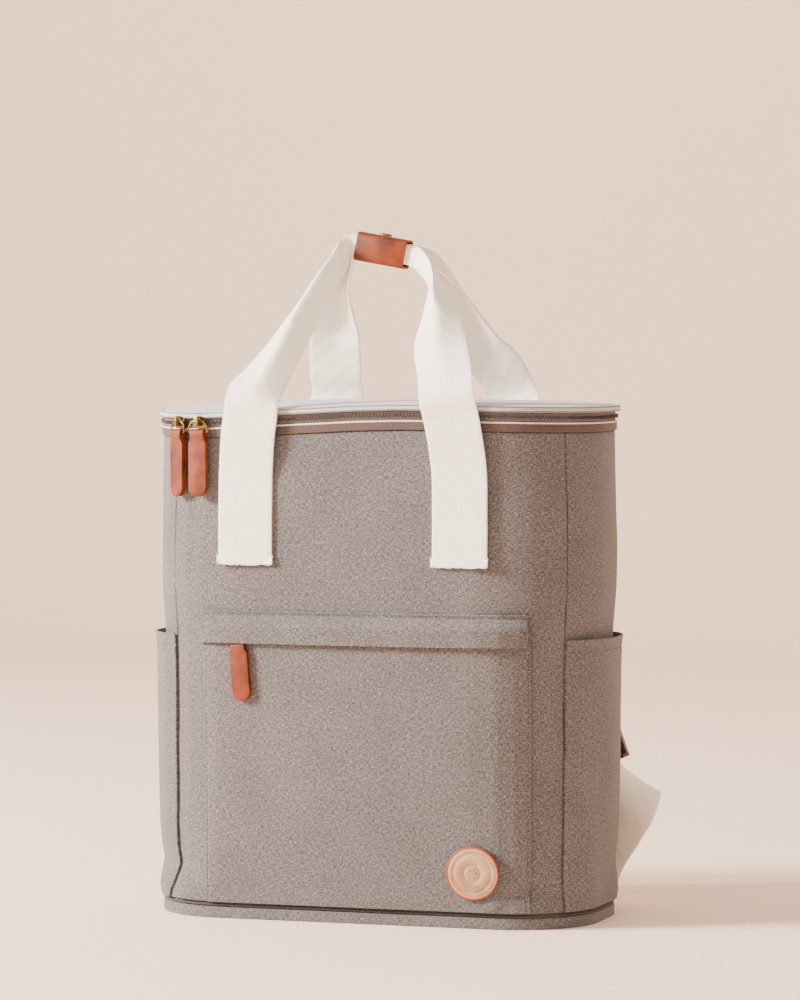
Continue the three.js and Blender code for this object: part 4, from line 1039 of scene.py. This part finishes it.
# %% [markdown]
# ## Leather and metal fittings
# The pulls, sliders, rings, adjusters and the sleeve are hard or stiff, and their CAD solids have the right
# shape. Each gets a finer copy with its edges rounded by a bevel, because a crisp edge never looks real.


# %% Make the fittings
def make_fitting(node, name, finish, width, joined=25, levels=0):
    fitting = piece_of(solid_of(node, joined), name, [node], finish)
    if levels:
        round_off(fitting, levels)
    else:
        soften(fitting, width, 3, 40)
    lay_out(fitting)


for side in ("left", "right"):
    make_fitting(f"pull_tab_{side}", f"{side}_tab", TAN_LEATHER, 0.5 * MM)
    make_fitting(f"zip_slider_{side}", f"{side}_zip_slider", BRASS, 0.35 * MM)
    make_fitting(f"slider_ring_{side}", f"{side}_ring", BRASS, 0, joined=80, levels=2)
    make_fitting(f"strap_slider_{side}", f"{side}_adjuster", DARK_METAL, 0.8 * MM)
make_fitting("pocket_pull_tab", "pocket_tab", TAN_LEATHER, 0.5 * MM)
make_fitting("pocket_slider", "pocket_zip_slider", BRASS, 0.3 * MM)
make_fitting("handle_wrap", "handle_sleeve", TAN_LEATHER, 0.4 * MM)
make_fitting("wrap_snap", "sleeve_snap", BRASS, 0.3 * MM)

# %% [markdown]
# ## The round patch
# The patch is a disc cut from pale leather, with a painted edge and pressed rings. A disc is a profile spun
# round its middle, so its rings are only steps in that profile. It is set on the CAD disc's own plane.

# %% Spin the patch
def plane_of(node):
    """The middle of a flat CAD solid and the way that its outer face looks."""
    solid = solid_of(node)
    solid.normal_update()
    face = max((f for f in solid.faces if f.normal.dot(outward(f.calc_center_median())) > 0.5),
               key=lambda f: f.calc_area())
    middle, way = face.calc_center_median(), face.normal.copy()
    solid.free()
    return middle, way


def spun(profile, steps=72):
    """A closed turned shape from a profile of radius and height in millimetres."""
    shape = bmesh.new()
    verts = [shape.verts.new((r * MM, 0, h * MM)) for r, h in profile]
    edges = [shape.edges.new(pair) for pair in zip(verts, verts[1:])]
    bmesh.ops.spin(shape, geom=verts + edges, cent=(0, 0, 0), axis=(0, 0, 1), angle=2 * math.pi, steps=steps,
                   use_merge=True)
    bmesh.ops.remove_doubles(shape, verts=shape.verts, dist=1e-6)
    bmesh.ops.recalc_face_normals(shape, faces=shape.faces)
    return shape


def set_on(shape, middle, way):
    """Turns a shape made flat at the origin onto a place, with its top along a way."""
    turn = way.to_track_quat("Z", "Y").to_matrix().to_4x4()
    bmesh.ops.transform(shape, matrix=Matrix.Translation(middle) @ turn, verts=shape.verts)
    return shape


PATCH_PROFILE = [
    # radius, height
    (0, 0), (5.2, 0), (5.5, -0.22), (5.9, -0.22), (6.2, 0),
    (12.6, 0), (12.9, -0.22), (13.3, -0.22), (13.6, 0),
    (16.0, 0), (16.3, -0.18), (16.9, -0.18), (17.2, 0),
    (17.9, -0.05), (18.25, -0.5), (18.25, -1.8), (0, -1.8),
]
patch_at, patch_way = plane_of("leather_patch")
shape = set_on(spun(PATCH_PROFILE), patch_at, patch_way)
patch = piece_of(shape, "round_patch", ["leather_patch"], PALE_LEATHER)
patch.data.materials.append(RUST_EDGE)
for face in patch.data.polygons:
    if (face.center - patch_at).length > 17.0 * MM:
        face.material_index = 1
lay_out(patch)
patch_right = Vector((0, 0, 1)).cross(patch_way).normalized()
patch_up = patch_way.cross(patch_right)


def patch_bead(shape, radius, angle, long, wide, turned=0.0):
    """A short raised mark on the patch, along its ring or turned from it."""
    ray = patch_right * math.cos(angle) + patch_up * math.sin(angle)
    along = patch_way.cross(ray) * math.cos(turned) + ray * math.sin(turned)
    bead(shape, patch_at + ray * radius * MM - patch_way * 0.03 * MM, along, patch_way,
         (long * MM, 0.3 * MM, wide * MM))


marks = bmesh.new()
for i in range(46):
    patch_bead(marks, 14.8, i / 46 * 2 * math.pi, 1.25, 0.5)
for i in range(24):
    patch_bead(marks, 9.4, i / 24 * 2 * math.pi, 0.8, 0.8)
for i in range(6):
    ray = i / 6 * 2 * math.pi
    patch_bead(marks, 2.3, ray, 3.6, 0.5, math.pi / 2)
    patch_bead(marks, 3.2, ray + 0.2, 1.2, 0.4, math.pi / 3)
    patch_bead(marks, 3.2, ray - 0.2, 1.2, 0.4, -math.pi / 3)
patch_marks = piece_of(marks, "patch_marks", ["leather_patch"], RUST_EDGE)
lay_out(patch_marks)
print("patch at", [round(c / MM, 1) for c in patch_at])

# %% [markdown]
# ## Sewing
# A stitch is a short thread that dips into the cloth at both ends, so a small bead in the thread's colour,
# half sunk in the surface, looks right and costs few faces. Rays find the surface of each finished piece.

# %% Sew the cloth pieces
def face_target(*pieces):
    """Finished pieces as one target for rays."""
    ready = bpy.context.evaluated_depsgraph_get()
    return rays_at(piece.evaluated_get(ready).data for piece in pieces)


def stitches(shape, target, places, step, size):
    """Beads along a line of places round the bag, each with its height, laid on a target."""
    line = []
    for (far, z), (far2, z2) in zip(places, places[1:]):
        count = max(1, round(math.hypot(far2 - far, z2 - z) / step))
        for i in range(count):
            line.append((far + (far2 - far) * i / count, z + (z2 - z) * i / count))
    spots = [touch(target, far, z) for far, z in line]
    for (spot, way), (following, _) in zip(spots, spots[1:]):
        if spot and following and (following - spot).length < 3 * step:
            bead(shape, spot, (following - spot).normalized(), way, size)


bpy.context.view_layer.update()
soft_face = face_target(front_pocket, flap, right_pocket, left_pocket, walls["front_wall"])
flap_low, flap_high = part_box("pocket_flap")
flap_edge = [round_the_bag((x, -BAG_DEPTH / 2, 0)) for x in (flap_low.x, flap_high.x)]
cloth_thread = bmesh.new()
CLOTH_STITCH = (1.5 * MM, 0.4 * MM, 0.5 * MM)
FLAP_LINE, FLAP_END, SIDE_LINE = 207.6 * MM, 129 * MM, 184.5 * MM
POCKET_SIDES, POCKET_LINE = (-104.5 * MM, 122 * MM), (184 * MM, 14 * MM)
lines = [([(flap_edge[0] + 2 * MM, FLAP_LINE), (FLAP_END, FLAP_LINE)], 2.3 * MM)]
lines += [([(far, z) for z in POCKET_LINE], 2.6 * MM) for far in POCKET_SIDES]
for side in (-1, 1):
    ends = side * (QUARTER_ROUND - 58 * MM), side * (QUARTER_ROUND + 56 * MM)
    lines.append(([(far, SIDE_LINE) for far in ends], 2.6 * MM))
for places, step in lines:
    stitches(cloth_thread, soft_face, places, step, CLOTH_STITCH)
cloth_sewing = piece_of(cloth_thread, "cloth_sewing", ["front_pocket"], DARK_CLOTH)
lay_out(cloth_sewing, 2)
print("stitches:", len(cloth_sewing.data.vertices) // 20)

# %% Sew the feet of the handles
web_face = face_target(front_handle, back_handle)
web_thread = bmesh.new()
WEB_STITCH = (1.7 * MM, 0.35 * MM, 0.5 * MM)
BOX_HALF, BOX_LOW, BOX_HIGH = 16.5 * MM, 247 * MM, 274 * MM
for x in (-HANDLE_HALF, HANDLE_HALF):
    left, right = x - BOX_HALF, x + BOX_HALF
    box = [(left, BOX_LOW), (right, BOX_LOW), (right, BOX_HIGH), (left, BOX_HIGH), (left, BOX_LOW)]
    stitches(web_thread, web_face, box, 2.8 * MM, WEB_STITCH)
web_sewing = piece_of(web_thread, "handle_sewing", ["front_handle"], COTTON_THREAD)
lay_out(web_sewing, 2)


# %% [markdown]
# ## Folded feet
# Each foot of a handle is a turned-under hem, a little thicker and wider than the strip, with its threads
# standing out at both ends. A flat grid bent round the strip's end, with its own thickness, is that fold.

# %% Fold the feet
HEM_WIDTH, HEM_DEPTH = 39.6 * MM, 6 * MM


def make_hem(name, x, side):
    shape = bmesh.new()
    bmesh.ops.create_grid(shape, x_segments=14, y_segments=6, size=0.5)
    give_cut(shape, lambda v: (v.co.x * HEM_WIDTH, v.co.y * HEM_DEPTH))
    for v in shape.verts:
        across, turn = v.co.x * HEM_WIDTH, v.co.y * math.pi
        base = beside_wall(x, HANDLE_FOOT + 3 * MM, side, 0)
        wave = noise.noise(Vector((across * 200, x * 50, 0))) * 0.4 * MM
        z = HANDLE_FOOT + 2.2 * MM - math.cos(turn) * 2.6 * MM + (2.6 * MM if v.co.y > 0.3 else 0)
        out = 1.35 * MM if v.co.y > -0.3 else 0.5 * MM
        v.co = Vector((x + across, base.y + side * (out + 0.25 * MM * math.cos(turn)), z + wave))
    shape.normal_update()
    if sum(f.normal.y for f in shape.faces) * side < 0:
        bmesh.ops.reverse_faces(shape, faces=shape.faces)
    hem = piece_of(shape, name, ["front_handle" if side < 0 else "back_handle"], COTTON)
    modify(hem, "SOLIDIFY", thickness=0.9 * MM, offset=0)
    soften(hem, 0.35 * MM)
    return hem


hems = [make_hem(f"{end}_{face}_foot", x, side) for face, side in (("front", -1), ("back", 1))
        for end, x in (("left", -HANDLE_HALF), ("right", HANDLE_HALF))]
frays = bmesh.new()
for x in (-HANDLE_HALF, HANDLE_HALF):
    for side in (-1, 1):
        at = beside_wall(x, 247 * MM, -1, 1 * MM) + Vector((side * 19.6 * MM, 0, 0))
        for i in range(4):
            way = Vector((side, -0.3, 0.5 * (i - 1.5))).normalized()
            spot = at + Vector((0, 0, (i - 1.5) * 0.5 * MM))
            bead(frays, spot, way, Vector((0, -1, 0)), (2.2 * MM, 0.3 * MM, 0.35 * MM))
loose_threads = piece_of(frays, "loose_threads", ["front_handle"], COTTON)
lay_out(loose_threads, 2)
print("feet:", len(hems))

# %% [markdown]
# ## Sewing on leather
# A pull is sewn all round, a little inside its edge. Its outline is found from its own shape: from points
# on its middle line, rays across its face stop at the edge, and the stitch stands a fixed step inside it.

# %% Sew the leather pieces
LEATHER_STITCH = (1.3 * MM, 0.3 * MM, 0.42 * MM)
ROUND_END = 6.5 * MM


def axes_of(node):
    """The middle of a CAD solid, and its long, wide and thin directions."""
    points = np.array([v.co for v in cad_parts[node].data.vertices])
    points = np.unique(np.round(points, 6), axis=0)
    middle = (points.max(0) + points.min(0)) / 2
    ways = np.linalg.svd(points - points.mean(0), full_matrices=False)[2]
    return Vector(middle), [Vector(way) for way in ways]


def sew_tab(shape, node, face_way, inset=1.4 * MM, step=1.9 * MM):
    """Stitches along both sides and round the end of a leather pull."""
    middle, (long, wide, thin) = axes_of(node)
    long = long if long.z < 0 else -long
    thin = thin if thin.dot(face_way) > 0 else -thin
    target = target_of(node)

    def on_face(spot):
        return target.ray_cast(spot + thin * 0.01, -thin, 0.02)

    def edge_of(spot, ray):
        edge = last_place(lambda d: on_face(spot + ray * d)[0] is not None, 0.0, 0.012)
        return spot + ray * (edge - inset)

    reach = last_place(lambda d: on_face(middle + long * d)[0] is not None, 0.0, 0.04)
    run = [middle + long * d for d in np.arange(-reach + 5 * MM, reach - ROUND_END, step)]
    centre = middle + long * (reach - ROUND_END)
    turns = [math.pi * i / 10 for i in range(11)]
    arc = [edge_of(centre, wide * -math.cos(turn) + long * math.sin(turn)) for turn in turns]
    line = [edge_of(spot, -wide) for spot in run] + arc + [edge_of(spot, wide) for spot in reversed(run)]
    for spot, following in zip(line, line[1:]):
        hit, way = on_face(spot)[:2]
        if hit:
            bead(shape, hit, (following - spot).normalized(), way, LEATHER_STITCH)


tab_thread = bmesh.new()
for node in ("pull_tab_left", "pull_tab_right", "pocket_pull_tab"):
    sew_tab(tab_thread, node, Vector((-0.2, -1, 0)))
tab_sewing = piece_of(tab_thread, "tab_sewing", ["pull_tab_left"], TAN_THREAD)
sleeve_thread = bmesh.new()
sleeve_face = target_of("handle_wrap")
for end in (-15.4 * MM, 15.4 * MM):
    for turn in np.linspace(-1.2, 0.9, 12):
        way = Vector((0, -math.cos(turn), 0)) + GRIP_UP * math.sin(turn)
        start = GRIP_MIDDLE + GRIP_WAY * end + GRIP_UP * -1 * MM
        hit, face = sleeve_face.ray_cast(start + way * 0.03, -way, 0.03)[:2]
        if hit:
            bead(sleeve_thread, hit, face.cross(GRIP_WAY).normalized(), face, LEATHER_STITCH)
sleeve_sewing = piece_of(sleeve_thread, "sleeve_sewing", ["handle_wrap"], TAN_THREAD)
for piece in (tab_sewing, sleeve_sewing):
    lay_out(piece, 2)

# %% [markdown]
# ## Floor and light
# A pale floor bends up into a wall far behind the bag. A small strong lamp stands high at the front left, as
# sunlight does in a room, with a weak warm fill at the right and a soft lamp behind.

# %% Set the stage
def stage_finish(name, color):
    made = Finish(name, Roughness=0.9)
    place = made.place()
    return made.color(made.blend(made.noise(place, 3.0, 3.0), color, tuple(c * 0.97 for c in color)))


WALL_AWAY, WALL_HIGH, FLOOR_NEAR, FLOOR_HALF = 3.6, 5.0, -23.4, 22.5
backdrop = bmesh.new()
corners = [(-1, FLOOR_NEAR), (1, FLOOR_NEAR), (1, WALL_AWAY), (-1, WALL_AWAY)]
backdrop.faces.new([backdrop.verts.new((side * FLOOR_HALF, y, 0)) for side, y in corners])
edge = [e for e in backdrop.edges if all(v.co.y > 0 for v in e.verts)]
raised = bmesh.ops.extrude_edge_only(backdrop, edges=edge)["geom"]
bmesh.ops.translate(backdrop, verts=[g for g in raised if isinstance(g, bmesh.types.BMVert)],
                    vec=(0, 0, WALL_HIGH))
bend = [e for e in backdrop.edges if all(v.co.y > 0 and v.co.z < 0.01 for v in e.verts)]
bmesh.ops.bevel(backdrop, geom=bend, offset=1.2, segments=24, profile=0.5, affect="EDGES", material=-1)
room_mesh = bpy.data.meshes.new("floor")
backdrop.to_mesh(room_mesh)
backdrop.free()
room_mesh.materials.append(stage_finish("pale_floor", tone(253, 226, 203)))
room_mesh.shade_smooth()
room = bpy.data.objects.new("floor", room_mesh)
scene.collection.objects.link(room)

LAMPS = [
    # name, place, size, power, colour
    ("key", (-2.4, -1.35, 1.45), 0.7, 370, (1.0, 0.96, 0.9)),
    ("fill", (2.4, -1.2, 0.9), 2.0, 3, (1.0, 0.8, 0.64)),
    ("back", (0.4, 1.9, 1.9), 1.6, 12, (1.0, 0.96, 0.92)),
]
for name, at, size, power, color in LAMPS:
    lamp = bpy.data.lights.new(name, "AREA")
    lamp.size, lamp.energy, lamp.color = size, power, color
    lamp_object = bpy.data.objects.new(name, lamp)
    lamp_object.location = at
    lamp_object.rotation_euler = (Vector((0, 0, 0.2)) - Vector(at)).to_track_quat("-Z", "Y").to_euler()
    scene.collection.objects.link(lamp_object)

world = bpy.data.worlds.new("soft_room")
world.use_nodes = True
world.node_tree.nodes["Background"].inputs["Color"].default_value = (1.0, 0.86, 0.76, 1)
world.node_tree.nodes["Background"].inputs["Strength"].default_value = 1.2
scene.world = world
